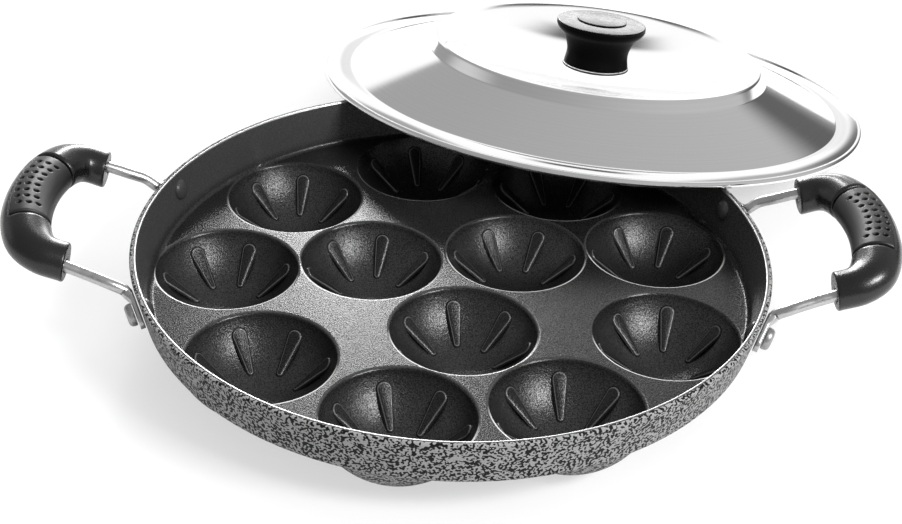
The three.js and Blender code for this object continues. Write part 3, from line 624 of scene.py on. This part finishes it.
rivet_metal = worn_metal("head_aluminium", scale=700, detail=4, greys=(0.22, 0.36), roughness=(0.3, 0.5))
rivet_inputs = {"First handle": ("Float", RIGHT_TURN), "Handle step": ("Float", LEFT_TURN - RIGHT_TURN),
                "Rivet angle": ("Float", RIVET_ANGLE),
                "Wall radius": ("Float", wall_radius(rivet_height, SHEET / 2)),
                "Height": ("Float", rivet_height), "Lean": ("Float", math.pi / 2 + WALL_FLARE),
                "Head finish": ("Material", rivet_metal), "Dome finish": ("Material", coat)}
tree, given = new_tree("rivets", rivet_inputs)
place = add(tree, "GeometryNodeInputIndex").outputs[0]
handle = maths(tree, "MULTIPLY_ADD", maths(tree, "FLOOR", maths(tree, "DIVIDE", place, 2)),
               given["Handle step"], given["First handle"])
side = maths(tree, "MULTIPLY_ADD", maths(tree, "MODULO", place, 2), 2, -1)
angle = maths(tree, "MULTIPLY_ADD", side, given["Rivet angle"], handle)
across, along = (maths(tree, "MULTIPLY", given["Wall radius"], maths(tree, part, angle))
                 for part in ("COSINE", "SINE"))
position = vector_of(tree, across, along, given["Height"])
four = on_points(tree, 4, position, vector_of(tree, 0, given["Lean"], angle), given["Geometry"])
real = add(tree, "GeometryNodeRealizeInstances", {0: four})
heads = add(tree, "GeometryNodeSetMaterial", {"Geometry": real.outputs[0], "Material": given["Head finish"]})
inside = add(tree, "GeometryNodeInputNamedAttribute", {"Name": "inside_dome"}, data_type="BOOLEAN").outputs[0]
domes = add(tree, "GeometryNodeSetMaterial", {"Geometry": heads.outputs[0], "Selection": inside,
                                              "Material": given["Dome finish"]})
add(tree, "NodeGroupOutput", {0: domes.outputs[0]})
rivets = finished("rivets", rivet, [rivet_metal])
grow(rivets, tree, rivet_inputs)
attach(rivets, "pan")
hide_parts("left_front_rivet", "left_rear_rivet", "right_front_rivet", "right_rear_rivet")

# Handle rods: bright round bar, bent to a bow. Its ends are hammered flat, drilled, and slope down along the
# wall under the rivets; its middle runs through the grip.
ROD_RADIUS = 0.002
ROD_STEPS = 40
TIP_SWEEP = math.pi / 2 * 0.97  # the flat end's rounding, a little short of a point
TIP_RINGS = 8
NECK_RINGS = 12
ROD_RINGS = 70
TURN_RINGS = 25
FLAT_POWER = 7  # of the section's curve: nearly square
ROUND_POWER = 2
HANDLE_TILT = math.radians(19)
HANDLE_ROOT_DROP = 0.0021
HANDLE_ROOT_GAP = 0.0031
TAB_SLOPE = math.radians(33)
TAB_HALF_WIDTH = 0.003
TAB_LEAD = 0.0085
TAB_TAIL = 0.006
TAB_NECK = 0.0035
ROD_START = 0.0052
ROD_RUN = 0.0217
ROD_SPLAY = ((0.3, 0.0024), (0.65, 0.0009))  # share of the run, and how much wider the rods stand there
GRIP_SPREAD = 0.0328
GRIP_REACH = 0.0436
GRIP_BEND = ((0.4, 0.99), (0.71, 0.86), (0.91, 0.52))  # share of the way on to the reach, and of the spread
BOW_TOE = 0.05
BOW_LIFT = 0.0009
BOW_TWIST = 0.018

handle_out = Vector((math.cos(HANDLE_TILT), 0, math.sin(HANDLE_TILT)))
handle_up = Vector((-math.sin(HANDLE_TILT), 0, math.cos(HANDLE_TILT)))
root_height = rim_top - HANDLE_ROOT_DROP
root_reach = wall_radius(root_height, SHEET / 2) * math.cos(RIVET_ANGLE) + HANDLE_ROOT_GAP
handle_root = Vector((root_reach, 0, root_height))


def in_handle(out, side):
    """A place in the handle's plane."""
    return handle_root + handle_out * out + Vector((0, side, 0))


def tab_frame(end):
    """Origin on the wall at a rivet, then the flat end's direction, its width and the wall's normal."""
    angle = end * RIVET_ANGLE
    across_wall = Vector((math.cos(angle), math.sin(angle), 0))
    outward = across_wall * math.cos(WALL_FLARE) - Vector((0, 0, math.sin(WALL_FLARE)))
    up_wall = across_wall * math.sin(WALL_FLARE) + Vector((0, 0, math.cos(WALL_FLARE)))
    along = Vector((-math.sin(angle), math.cos(angle), 0)) * end
    tab = along * math.cos(TAB_SLOPE) - up_wall * math.sin(TAB_SLOPE)
    origin = across_wall * wall_radius(rivet_height, SHEET / 2) + Vector((0, 0, rivet_height))
    return origin, tab, outward.cross(tab) * end, outward


def eased(points, steps):
    """A smooth curve through points, as a fine chain."""
    ends = [points[0] * 2 - points[1]] + list(points) + [points[-1] * 2 - points[-2]]
    chain = []
    for p0, p1, p2, p3 in zip(ends, ends[1:], ends[2:], ends[3:]):
        d0, d1, d2 = ((b - a).length ** 0.5 for a, b in ((p0, p1), (p1, p2), (p2, p3)))
        t1 = ((p1 - p0) / d0 - (p2 - p0) / (d0 + d1) + (p2 - p1) / d1) * d1
        t2 = ((p2 - p1) / d1 - (p3 - p1) / (d1 + d2) + (p3 - p2) / d2) * d1
        for k in range(steps):
            t = k / steps
            square = (p1 * -3 + p2 * 3 - t1 * 2 - t2) * t * t
            cube = (p1 * 2 - p2 * 2 + t1 + t2) * t ** 3
            chain.append(p1 + t1 * t + square + cube)
    return chain + [points[-1]]


def rod_half(end):
    """Points of the rod's middle line from a flat end to the bow's middle."""
    origin, tab, width, outward = tab_frame(end)
    seat = origin + outward * (GAP + ROD_RADIUS)
    knees = [seat - tab * ROD_START, seat - tab * TAB_LEAD]
    knees += [in_handle(ROD_RUN * share, end * (GRIP_SPREAD + wider)) for share, wider in ROD_SPLAY]
    knees.append(in_handle(ROD_RUN, end * GRIP_SPREAD))
    return knees + [in_handle(ROD_RUN + (GRIP_REACH - ROD_RUN) * way, end * GRIP_SPREAD * spread)
                    for way, spread in GRIP_BEND]


rod_chain = eased(rod_half(-1) + [in_handle(GRIP_REACH, 0)] + rod_half(1)[::-1], ROD_STEPS)
rod_marks = [0]
for a, b in zip(rod_chain, rod_chain[1:]):
    rod_marks.append(rod_marks[-1] + (b - a).length)
rod_half_length = rod_marks[-1] / 2


def on_rod(distance):
    """Point of the rod's middle line at a distance from its middle, and the line's direction there."""
    mark = min(max(distance + rod_half_length, 0), rod_marks[-1])
    i = min(max(bisect.bisect_right(rod_marks, mark) - 1, 0), len(rod_chain) - 2)
    share = (mark - rod_marks[i]) / (rod_marks[i + 1] - rod_marks[i])
    before = rod_chain[max(i - 1, 0)]
    after = rod_chain[min(i + 2, len(rod_chain) - 1)]
    near = (rod_chain[i + 1] - before).normalized()
    far = (after - rod_chain[i]).normalized()
    return rod_chain[i].lerp(rod_chain[i + 1], share), near.lerp(far, share).normalized()


def lofted(mesh, rings):
    """Faces between rings of points, with both ends closed."""
    made = [[mesh.verts.new(p) for p in ring] for ring in rings]
    for low, high in zip(made, made[1:]):
        for i in range(len(low)):
            j = (i + 1) % len(low)
            mesh.faces.new((low[i], low[j], high[j], high[i]))
    mesh.faces.new(made[0])
    mesh.faces.new(made[-1])


def bar_ring(centre, outward, upward, half_out, half_up, power, count=32):
    """A ring between a round and a square one."""
    ring = []
    for i in range(count):
        c, s = math.cos(math.tau * i / count), math.sin(math.tau * i / count)
        ring.append(centre + outward * half_out * math.copysign(abs(c) ** (2 / power), c)
                    + upward * half_up * math.copysign(abs(s) ** (2 / power), s))
    return ring


def smooth(share):
    """A share held between zero and one, eased at both ends."""
    share = min(max(share, 0), 1)
    return share * share * (3 - 2 * share)


def rod_rings(end):
    """Rings from a flat end's tip to the rod's middle."""
    origin, tab, width, outward = tab_frame(end)
    rings = []
    tip = TAB_TAIL - TAB_HALF_WIDTH
    for i in range(TIP_RINGS + 1):
        angle = TIP_SWEEP * (1 - i / TIP_RINGS)
        centre = origin + tab * (tip + TAB_HALF_WIDTH * math.sin(angle)) + outward * (GAP + TAB_THICKNESS / 2)
        half_width = TAB_HALF_WIDTH * math.cos(angle)
        rings.append(bar_ring(centre, outward, width, TAB_THICKNESS / 2, half_width, FLAT_POWER))
    for i in range(1, NECK_RINGS + 1):
        share = i / NECK_RINGS
        ease = smooth(share)
        half = TAB_THICKNESS / 2 + (ROD_RADIUS - TAB_THICKNESS / 2) * ease
        half_width = TAB_HALF_WIDTH + (ROD_RADIUS - TAB_HALF_WIDTH) * ease
        centre = origin - tab * (TAB_NECK + (TAB_LEAD - TAB_NECK) * share) + outward * (GAP + half)
        power = FLAT_POWER + (ROUND_POWER - FLAT_POWER) * ease
        rings.append(bar_ring(centre, outward, width, half, half_width, power))
    start = rod_half_length - (TAB_LEAD - ROD_START)
    for i in range(1, ROD_RINGS + 1):
        centre, ahead = on_rod(end * start * (1 - i / ROD_RINGS))
        side = outward.lerp(ahead.cross(handle_up).normalized(), min(i / TURN_RINGS, 1))
        side = (side - ahead * side.dot(ahead)).normalized()
        rings.append(bar_ring(centre, side, ahead.cross(side) * -1, ROD_RADIUS, ROD_RADIUS, ROUND_POWER))
    return rings


def set_by_hand(mesh, side_name):
    """The bow as it is bent in fact, a little up and askew, then turned to its side of the pan."""
    for corner in mesh.verts:
        share = smooth((corner.co - handle_root).dot(handle_out) / ROD_RUN)
        rear = corner.co.y if side_name == "right" else -corner.co.y
        corner.co.x -= BOW_TOE * rear * share
        corner.co.z += (BOW_LIFT + BOW_TWIST * rear) * share
    turn = RIGHT_TURN if side_name == "right" else LEFT_TURN
    bmesh.ops.transform(mesh, matrix=Matrix.Rotation(turn, 4, "Z"), verts=mesh.verts[:])


rod_steel = worn_metal("bright_steel", scale=500, detail=3, greys=(0.34, 0.44), roughness=(0.26, 0.38))
for side_name in ("left", "right"):
    bar = bmesh.new()
    lofted(bar, rod_rings(-1) + rod_rings(1)[-2::-1])
    set_by_hand(bar, side_name)
    rod_piece = finished(side_name + "_rod", bar, [rod_steel])
    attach(rod_piece, "pan")
    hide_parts(side_name + "_handle_rod")

# Grips: black plastic moulded round the rod's bow, oval, thickest in the middle, cut off flat at both ends
# where the rod goes in. A shallow recess over the top takes the pad.
GRIP_INSET = 0.0022
GRIP_END_LEAN = math.radians(11)
MIDDLE_HALVES = (0.0088, 0.0072)  # half the width and half the height
ARM_HALVES = (0.0069, 0.0066)
THICK_SHARE = 0.3
THINNING_SHARE = 0.6
BORE_RADIUS = 0.0026
BORE_DEPTH = 0.008
GRIP_EDGE = 0.0007
PAD_HALF_LENGTH = 0.0182
PAD_START = 35  # degrees round the section, from the outer side over the top
PAD_END = 235
RECESS_HALF_LENGTH = 0.0193
RECESS_MARGIN = 2.4
RECESS_WALL = 0.8
RECESS_FADE = 6
RECESS_DEPTH = 0.0026
SHOULDER_RUN = 0.0016
SHOULDER_DROP = 0.0009
BEND_BLEND = 0.004
ELBOW = 0.031
ELBOW_REACH = 0.012
ELBOW_FILL = 0.0012
PLAIN_END = 0.008
GRIP_SEGMENTS = 96
GRIP_RINGS = 70
SHOULDER_RINGS = (0, 0.02, 0.1, 0.25, 0.45, 0.7, 1)
END_RINGS = 10
END_HALVINGS = 24
EDGE_RINGS = 4

end_normal = Vector((math.cos(GRIP_END_LEAN), 0, math.sin(GRIP_END_LEAN)))
end_plane = in_handle(ROD_RUN, 0).dot(end_normal)
mouth = in_handle(ROD_RUN, 0).dot(handle_out)
# Half the grip's length along the rod, found in steps of a hundredth of a millimetre
grip_half = next(d / 1e5 for d in range(7000) if on_rod(d / 1e5)[0].dot(handle_out) < mouth)


def grip_halves(distance):
    """Half the grip's width and height at a distance from its middle."""
    share = smooth((abs(distance) / grip_half - THICK_SHARE) / THINNING_SHARE)
    return [a + (b - a) * share for a, b in zip(MIDDLE_HALVES, ARM_HALVES)]


def on_grip(distance, angle, sink):
    """Point of the grip's skin, or below it; the angle in degrees from the outer side over the top."""
    point, ahead = on_rod(distance)
    ahead = ahead + on_rod(distance - BEND_BLEND)[1] + on_rod(distance + BEND_BLEND)[1]
    outward = ahead.cross(handle_up).normalized()
    half_width, half_height = grip_halves(distance)
    turn = math.radians(angle)
    bend = max(1 - ((abs(distance) - ELBOW) / ELBOW_REACH) ** 2, 0) ** 2
    inwards = min(math.cos(turn), 0) * ELBOW_FILL * bend
    return (point + outward * ((half_width - sink) * math.cos(turn) + inwards - GRIP_INSET)
            + handle_up * (half_height - sink) * math.sin(turn))


def grip_end(angle, end):
    """Distance along the rod where the skin meets the flat end."""
    inside, outside = grip_half * 0.8, grip_half * 1.2
    for _ in range(END_HALVINGS):
        guess = (inside + outside) / 2
        if on_grip(end * guess, angle, 0).dot(end_normal) > end_plane:
            inside = guess
        else:
            outside = guess
    return inside


def rolled(out):
    """Drop of a quarter round of radius one, so far out from its crown."""
    return 1 - math.sqrt(1 - out * out)


def recess(distance, angle):
    """Depth under the skin, in the pad's recess and where the skin rolls down to it at both ends."""
    past = abs(distance) - RECESS_HALF_LENGTH
    first = PAD_START - RECESS_MARGIN + RECESS_WALL / 2
    last = PAD_END + RECESS_MARGIN - RECESS_WALL / 2
    inside = min(max(min(angle - first, last - angle) / RECESS_FADE, 0), 1)
    if past < SHOULDER_RUN / 100:
        return RECESS_DEPTH if inside else 0
    return SHOULDER_DROP * inside * rolled(1 - min(past / SHOULDER_RUN, 1))


def grip_rings():
    """Rings from the bore in one end, over the skin, to the bore in the other."""
    angles = [360 * i / GRIP_SEGMENTS for i in range(GRIP_SEGMENTS)]
    for edge, way in ((PAD_START - RECESS_MARGIN, 1), (PAD_END + RECESS_MARGIN, -1)):
        angles += [edge, edge + way * RECESS_WALL]
    angles.sort()
    plain = grip_half - PLAIN_END
    stations = [plain * i / GRIP_RINGS for i in range(-GRIP_RINGS, GRIP_RINGS + 1)]
    stations += [way * (RECESS_HALF_LENGTH + SHOULDER_RUN * share) for way in (-1, 1)
                 for share in SHOULDER_RINGS]
    rings = [[on_grip(d, a, recess(d, a)) for a in angles] for d in sorted(stations)]
    ends = {}
    for end in (-1, 1):
        around = [(a, grip_end(a, end)) for a in angles]
        tail = [[on_grip(end * (plain + (reach - GRIP_EDGE - plain) * i / END_RINGS), a, 0)
                 for a, reach in around] for i in range(1, END_RINGS + 1)]
        for i in range(1, EDGE_RINGS + 1):
            bevel = math.pi / 2 * i / EDGE_RINGS
            back = GRIP_EDGE * (1 - math.sin(bevel))
            tail.append([on_grip(end * (reach - back), a, GRIP_EDGE * (1 - math.cos(bevel)))
                         for a, reach in around])
        rim = tail[-1]
        bore, ahead = on_rod(end * grip_half)
        outward = ahead.cross(handle_up).normalized()
        spokes = [outward * math.cos(turn) + handle_up * math.sin(turn) for turn in map(math.radians, angles)]
        hole = [bore + spoke * BORE_RADIUS for spoke in spokes]
        hole = [p + handle_out * ((end_plane - p.dot(end_normal)) / handle_out.dot(end_normal)) for p in hole]
        tail += [[p.lerp(q, i / EDGE_RINGS) for p, q in zip(rim, hole)] for i in range(1, EDGE_RINGS + 1)]
        tail += [[p + handle_out * depth for p in hole] for depth in (GAP, BORE_DEPTH)]
        ends[end] = tail
    return ends[-1][::-1] + rings + ends[1]


def black_plastic(name, scale, detail, grey, shine, roughness, pits=0):
    """Black plastic whose roughness goes between two values with its skin, which may have pits."""
    finish, tree, shader = new_finish(name)
    skin = grain(tree, scale, detail)
    shader.inputs["Base Color"].default_value = (grey, grey, grey, 1)
    shader.inputs["Specular IOR Level"].default_value = shine
    tree.links.new(ramp(tree, skin, 0.3, 0.7, *roughness), shader.inputs["Roughness"])
    if pits:
        tree.links.new(relief(tree, skin, pits), shader.inputs["Normal"])
    return finish, tree, shader


grip_plastic = black_plastic("satin_plastic", scale=1800, detail=2, grey=0.003, shine=0.42,
                             roughness=(0.23, 0.31), pits=0.00003)[0]
for side_name in ("left", "right"):
    moulding = bmesh.new()
    lofted(moulding, grip_rings())
    set_by_hand(moulding, side_name)
    grip_piece = finished(side_name + "_grip_skin", moulding, [grip_plastic])
    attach(grip_piece, "pan")
    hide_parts(side_name + "_grip")

# Pads: soft black rubber let into the grips' recess, a little below the skin, with a groove round the edge.
# Eight rows of three dimples run along the side that faces up and outwards.
PAD_SINK = 0.0003
PAD_UNDER = 0.0025
PAD_EDGE = 0.0009
DIMPLE_ROWS = 8
DIMPLE_PITCH = 0.0038
DIMPLE_COLUMNS = 3
FIRST_COLUMN = 46.0  # degrees, as for the pad's edges
COLUMN_STEP = 23.0
COLUMN_BOW = 15.0
DIMPLE_ALONG = 0.0009
DIMPLE_AROUND = 0.00095
DIMPLE_DEPTH = 0.0016
PAD_CURVE = 0.0078  # round the section, for distances between angles
PAD_SEGMENTS = 150
PAD_RINGS = 100

pad_rubber, tree, shader = black_plastic("soft_rubber", scale=1500, detail=2, grey=0.004, shine=0.5,
                                         roughness=(0.38, 0.48))
dimple = add(tree, "ShaderNodeAttribute", attribute_name="dimple").outputs["Fac"]
# The dimples lose their shine: painted shade in the recesses
tree.links.new(ramp(tree, dimple, 0, 0.6, 0.5, 0.02), shader.inputs["Specular IOR Level"])
pad_inputs = {"Rows": ("Int", DIMPLE_ROWS), "Row pitch": ("Float", DIMPLE_PITCH),
              "Columns": ("Int", DIMPLE_COLUMNS), "First column": ("Float", FIRST_COLUMN),
              "Column step": ("Float", COLUMN_STEP), "Column bow": ("Float", COLUMN_BOW),
              "Half along": ("Float", DIMPLE_ALONG), "Half around": ("Float", DIMPLE_AROUND),
              "Depth": ("Float", DIMPLE_DEPTH), "Finish": ("Material", pad_rubber)}
tree, given = new_tree("pad_dimples", pad_inputs)
work = functools.partial(maths, tree)
along, around, upper_side = (
    add(tree, "GeometryNodeInputNamedAttribute", {"Name": name}, data_type="FLOAT").outputs[0]
    for name in ("along", "around", "upper_side"))
row = work("ADD", work("FLOOR", work("DIVIDE", along, given["Row pitch"])), 0.5)
last_row = work("MULTIPLY_ADD", given["Rows"], 0.5, -0.5)
row = work("MAXIMUM", work("MINIMUM", row, last_row), work("MULTIPLY", last_row, -1))
off_row = work("MULTIPLY_ADD", work("MULTIPLY", row, -1), given["Row pitch"], along)
bow = work("MULTIPLY", work("POWER", work("DIVIDE", row, last_row), 2), given["Column bow"])
past = work("SUBTRACT", around, work("ADD", given["First column"], bow))
column = work("ROUND", work("DIVIDE", past, given["Column step"]))
column = work("MAXIMUM", work("MINIMUM", column, work("SUBTRACT", given["Columns"], 1)), 0)
off_column = work("SUBTRACT", past, work("MULTIPLY", column, given["Column step"]))
off_column = work("MULTIPLY", off_column, math.radians(1) * PAD_CURVE)
near = work("ADD", work("POWER", work("DIVIDE", off_row, given["Half along"]), 2),
            work("POWER", work("DIVIDE", off_column, given["Half around"]), 2))
press = work("MULTIPLY", ramp(tree, work("SQRT", near), 0.75, 1.1, 1, 0, "SMOOTHSTEP"), upper_side)
kept = {"Geometry": given["Geometry"], "Name": "dimple", "Value": press}
marked = add(tree, "GeometryNodeStoreNamedAttribute", kept, data_type="FLOAT", domain="POINT")
sunk = work("MULTIPLY", work("MULTIPLY", press, given["Depth"]), -1)
normal = add(tree, "GeometryNodeInputNormal").outputs[0]
inwards = add(tree, "ShaderNodeVectorMath", {0: normal, "Scale": sunk}, operation="SCALE").outputs[0]
pressed = add(tree, "GeometryNodeSetPosition", {"Geometry": marked.outputs[0], "Offset": inwards})
real = add(tree, "GeometryNodeRealizeInstances", {0: pressed.outputs[0]})
rubbered = add(tree, "GeometryNodeSetMaterial", {"Geometry": real.outputs[0], "Material": given["Finish"]})
add(tree, "NodeGroupOutput", {0: rubbered.outputs[0]})

pad_angles = [PAD_START + (PAD_END - PAD_START) * i / PAD_SEGMENTS for i in range(PAD_SEGMENTS + 1)]
pad_stations = [PAD_HALF_LENGTH * i / PAD_RINGS for i in range(-PAD_RINGS, PAD_RINGS + 1)]


def pad_sink(distance, angle):
    """Depth of the pad's upper side, rounded down at its edges."""
    to_edge = min(PAD_HALF_LENGTH - abs(distance), math.radians(angle - PAD_START) * PAD_CURVE,
                  math.radians(PAD_END - angle) * PAD_CURVE)
    return PAD_SINK + PAD_EDGE * rolled(1 - min(to_edge / PAD_EDGE, 1))


for side_name in ("left", "right"):
    slab = bmesh.new()
    along_mark = slab.verts.layers.float.new("along")
    around_mark = slab.verts.layers.float.new("around")
    upper_mark = slab.verts.layers.float.new("upper_side")
    lofted(slab, [[on_grip(d, a, pad_sink(d, a)) for a in pad_angles]
                  + [on_grip(d, a, PAD_UNDER) for a in reversed(pad_angles)] for d in pad_stations])
    slab.verts.ensure_lookup_table()
    around_ring = pad_angles + pad_angles[::-1]
    for i, corner in enumerate(slab.verts):
        station, place = divmod(i, len(around_ring))
        corner[along_mark] = pad_stations[station]
        corner[around_mark] = around_ring[place]
        corner[upper_mark] = place < len(pad_angles)
    set_by_hand(slab, side_name)
    pad_piece = finished(side_name + "_pad", slab, [pad_rubber])
    grow(pad_piece, tree, pad_inputs)
    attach(pad_piece, "pan")
    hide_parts(side_name + "_grip_pad")

# Lid: one disc of stainless steel, drawn and polished: a turned-down lip, a flat flange, a cone, a steep step
# and a dished middle. It leans on the pan's rim at two places and stands on the table at one.
LID_SHEET = 0.0007
LID_OVERHANG = 0.0046
LID_LIP = 0.0022
FLANGE_WIDTH = 0.0116
FLANGE_DISH = 0.0001
CONE_WIDTH = 0.033
CONE_RISE = 0.0122
STEP_WIDTH = 0.0036
STEP_RISE = 0.0052
DISH_DEPTH = 0.009
SEAT_RADIUS = 0.016
SCREW_HOLE = 0.0028
LID_REACH = 0.0694
LID_LEAN = math.radians(10.537)
LID_AZIMUTH = math.radians(69.03)
LIP_ROUND = 0.0014
LIP_BEAD = 0.0019
LIP_GROOVE = 0.0002
FLANGE_ROUND = 0.003
STEP_FOOT_ROUND = 0.0012
CREST_ROUND = 0.0016
CREST_SHIFT = 0.0009  # outwards, which makes the step steeper
DISH_POWER = 1.6
LID_SEGMENTS = 256
DISH_START = 0.92  # share of the dish that is left inside the rounded crest
DISH_RINGS = 24
POLISH_RINGS = 1400  # to the metre

rim_radius = outside_centre[0] + (OUTSIDE_CORNER - SHEET / 2 + (rim_top - SHEET / 2 - outside_centre[1])
                                  * math.sin(WALL_FLARE)) / math.cos(WALL_FLARE) + SHEET / 2
lid_radius = rim_radius + LID_OVERHANG
lid_middle = (rim_radius + lid_radius - LID_REACH, 0, lid_radius * math.sin(LID_LEAN) + GAP)
lid_place = (Matrix.Rotation(LID_AZIMUTH, 4, "Z") @ Matrix.Translation(lid_middle)
             @ Matrix.Rotation(LID_LEAN, 4, "Y"))
flange_foot = lid_radius - FLANGE_WIDTH
step_foot = flange_foot - CONE_WIDTH
crest = step_foot - STEP_WIDTH
flange_height = LID_LIP - FLANGE_DISH
crest_height = flange_height + CONE_RISE + STEP_RISE
seat_height = crest_height - DISH_DEPTH


def dish(share):
    """Place on the dished middle, from the knob's seat to the crest."""
    return SEAT_RADIUS + (crest - SEAT_RADIUS) * share, seat_height + DISH_DEPTH * share ** DISH_POWER


bead_end = lid_radius - LIP_BEAD
face = rounded([(lid_radius, 0, 0), (lid_radius, LID_LIP, LIP_ROUND), (bead_end, LID_LIP, 0),
                (bead_end - LIP_GROOVE, LID_LIP - LIP_GROOVE, 0),
                (bead_end - 2 * LIP_GROOVE, LID_LIP - LIP_GROOVE / 2, 0),
                (flange_foot, flange_height, FLANGE_ROUND),
                (step_foot, flange_height + CONE_RISE, STEP_FOOT_ROUND),
                (crest + CREST_SHIFT, crest_height, CREST_ROUND), dish(DISH_START) + (0,)], steps=8)
face += [dish(DISH_START * (1 - i / DISH_RINGS)) for i in range(1, DISH_RINGS + 1)]
face.append((SCREW_HOLE, seat_height))
under = []
for i, here in enumerate(face):
    before, after = face[max(i - 1, 0)], face[min(i + 1, len(face) - 1)]
    along = (Vector(after) - Vector(before)).normalized()
    under.append((here[0] - along.y * LID_SHEET, here[1] + along.x * LID_SHEET))


def polished_steel():
    """Bright steel with faint rings from the polishing wheel, round the lid's own axis."""
    finish, tree, shader = new_finish("polished_steel")
    on_axis = {"Vector": add(tree, "ShaderNodeTexCoord").outputs["Object"],
               "Location": lid_place.to_translation(), "Rotation": lid_place.to_euler()}
    parts = add(tree, "ShaderNodeSeparateXYZ",
                {0: add(tree, "ShaderNodeMapping", on_axis, vector_type="TEXTURE").outputs[0]}).outputs
    across, along = (maths(tree, "POWER", parts[axis], 2) for axis in "XY")
    out = maths(tree, "SQRT", maths(tree, "ADD", across, along))
    spin = grain(tree, 1, detail=4, vector=vector_of(tree, maths(tree, "MULTIPLY", out, POLISH_RINGS), 0, 0))
    tree.links.new(shade(tree, spin, 0.6, 0.7), shader.inputs["Base Color"])
    tree.links.new(ramp(tree, spin, 0.3, 0.7, 0.05, 0.1), shader.inputs["Roughness"])
    shader.inputs["Metallic"].default_value = 1
    return finish


sheet = bmesh.new()
turned(sheet, face + under[::-1] + face[:1], LID_SEGMENTS)
bmesh.ops.transform(sheet, matrix=lid_place, verts=sheet.verts[:])
lid_sheet = finished("lid_sheet", sheet, [polished_steel()])
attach(lid_sheet, "lid")
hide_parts("lid_shell")
# These lamps are kept off the lid, which mirrors only the room and the paper
shaded = bpy.data.collections.new("out_of_the_boxes")
shaded.objects.link(lid_sheet)
shaded.collection_objects[0].light_linking.link_state = "EXCLUDE"
for lamp in (back_box, low_box, front_box):
    lamp.light_linking.receiver_collection = shaded

# Knob: moulded black plastic, with a wide flat head over a waist. A cap of the same plastic closes its top,
# and the edge of a thin steel ring shows under its base, coloured near black as painted shade for the knob's
# dark reflection at its foot.
KNOB_HEIGHT = 0.0188
KNOB_BASE_RADIUS = 0.0142
KNOB_WAIST_RADIUS = 0.0135
KNOB_HEAD_RADIUS = 0.0195
KNOB_EDGE = 0.0006
# Share of the swell from waist to head, and of the knob's height
KNOB_FLARE = ((0, 0.25), (0.05, 0.4), (0.26, 0.57), (0.52, 0.7), (0.88, 0.83), (1, 0.9))
CAP_RADIUS = 0.0108
CAP_THICKNESS = 0.0009
CAP_EDGE = 0.0002
POCKET_RADIUS = 0.007
SEAT_RING_RADIUS = 0.0146
SEAT_RING_THICKNESS = 0.0008
KNOB_SEGMENTS = 128
FLANK_STEPS = 6

ring_bottom = seat_height + GAP
knob_bottom = ring_bottom + SEAT_RING_THICKNESS + GAP
knob_top = knob_bottom + KNOB_HEIGHT
cap_bottom = knob_top + GAP
cap_top = cap_bottom + CAP_THICKNESS


def on_lid(name, profile, finish, node):
    """A turned piece on the lid's axis, in place of a node."""
    body = bmesh.new()
    turned(body, profile, KNOB_SEGMENTS)
    bmesh.ops.transform(body, matrix=lid_place, verts=body.verts[:])
    made = finished(name, body, [finish])
    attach(made, "lid")
    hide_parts(node)
    made.visible_glossy = False  # kept out of the lid's mirror, which is bright up to the knob


knob_plastic = black_plastic("gloss_plastic", scale=300, detail=3, grey=0.002, shine=0.06,
                             roughness=(0.24, 0.32))[0]
# The ring's steel is near black: painted shade for the knob's dark reflection in the dish at its foot
ring_steel_painted_dark = worn_metal("ring_steel_painted_dark", scale=700, detail=4, greys=(0.04, 0.09), roughness=(0.3, 0.5))
knob_swell = KNOB_HEAD_RADIUS - KNOB_WAIST_RADIUS
flank = [Vector((KNOB_BASE_RADIUS, knob_bottom))]
flank += [Vector((KNOB_WAIST_RADIUS + knob_swell * wide, knob_bottom + KNOB_HEIGHT * high))
          for wide, high in KNOB_FLARE]
knob_side = [tuple(p) for p in eased(flank, FLANK_STEPS)]
knob_head = rounded([knob_side[-1] + (0,), (KNOB_HEAD_RADIUS, knob_top, KNOB_EDGE),
                     (CAP_RADIUS, knob_top, 0)])[1:]
knob_head += [(CAP_RADIUS * 0.95, knob_top), (POCKET_RADIUS, knob_top)]
pocket = [(POCKET_RADIUS, knob_bottom + KNOB_HEIGHT / 2), (0, knob_bottom + KNOB_HEIGHT / 2)]
on_lid("knob", [(0, knob_bottom)] + knob_side + knob_head + pocket, knob_plastic, "lid_knob")
cap = [(0, cap_bottom, 0), (CAP_RADIUS, cap_bottom, 0), (CAP_RADIUS, cap_top, CAP_EDGE), (0, cap_top, 0)]
on_lid("cap", rounded(cap), knob_plastic, "knob_cap")
ring_top = ring_bottom + SEAT_RING_THICKNESS
ring_edge = SEAT_RING_THICKNESS / 3
seat_ring = [(SCREW_HOLE, ring_bottom, 0), (SEAT_RING_RADIUS, ring_bottom, ring_edge),
             (SEAT_RING_RADIUS, ring_top, ring_edge), (SCREW_HOLE, ring_top, 0), (SCREW_HOLE, ring_bottom, 0)]
on_lid("seat_ring", rounded(seat_ring), ring_steel_painted_dark, "knob_seat_ring")

# Screw, washers and nut: zinc-plated steel, standard pieces, hidden under the lid and inside the knob. Their
# solids are shown as they are.
fastener_zinc = worn_metal("zinc_steel", scale=800, detail=3, greys=(0.4, 0.55), roughness=(0.3, 0.45))
for node in ("lid_screw", "screw_washer", "lock_washer", "knob_nut"):
    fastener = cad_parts[node]
    fastener.data.materials.clear()
    fastener.data.materials.append(fastener_zinc)
    fastener.visible_glossy = False
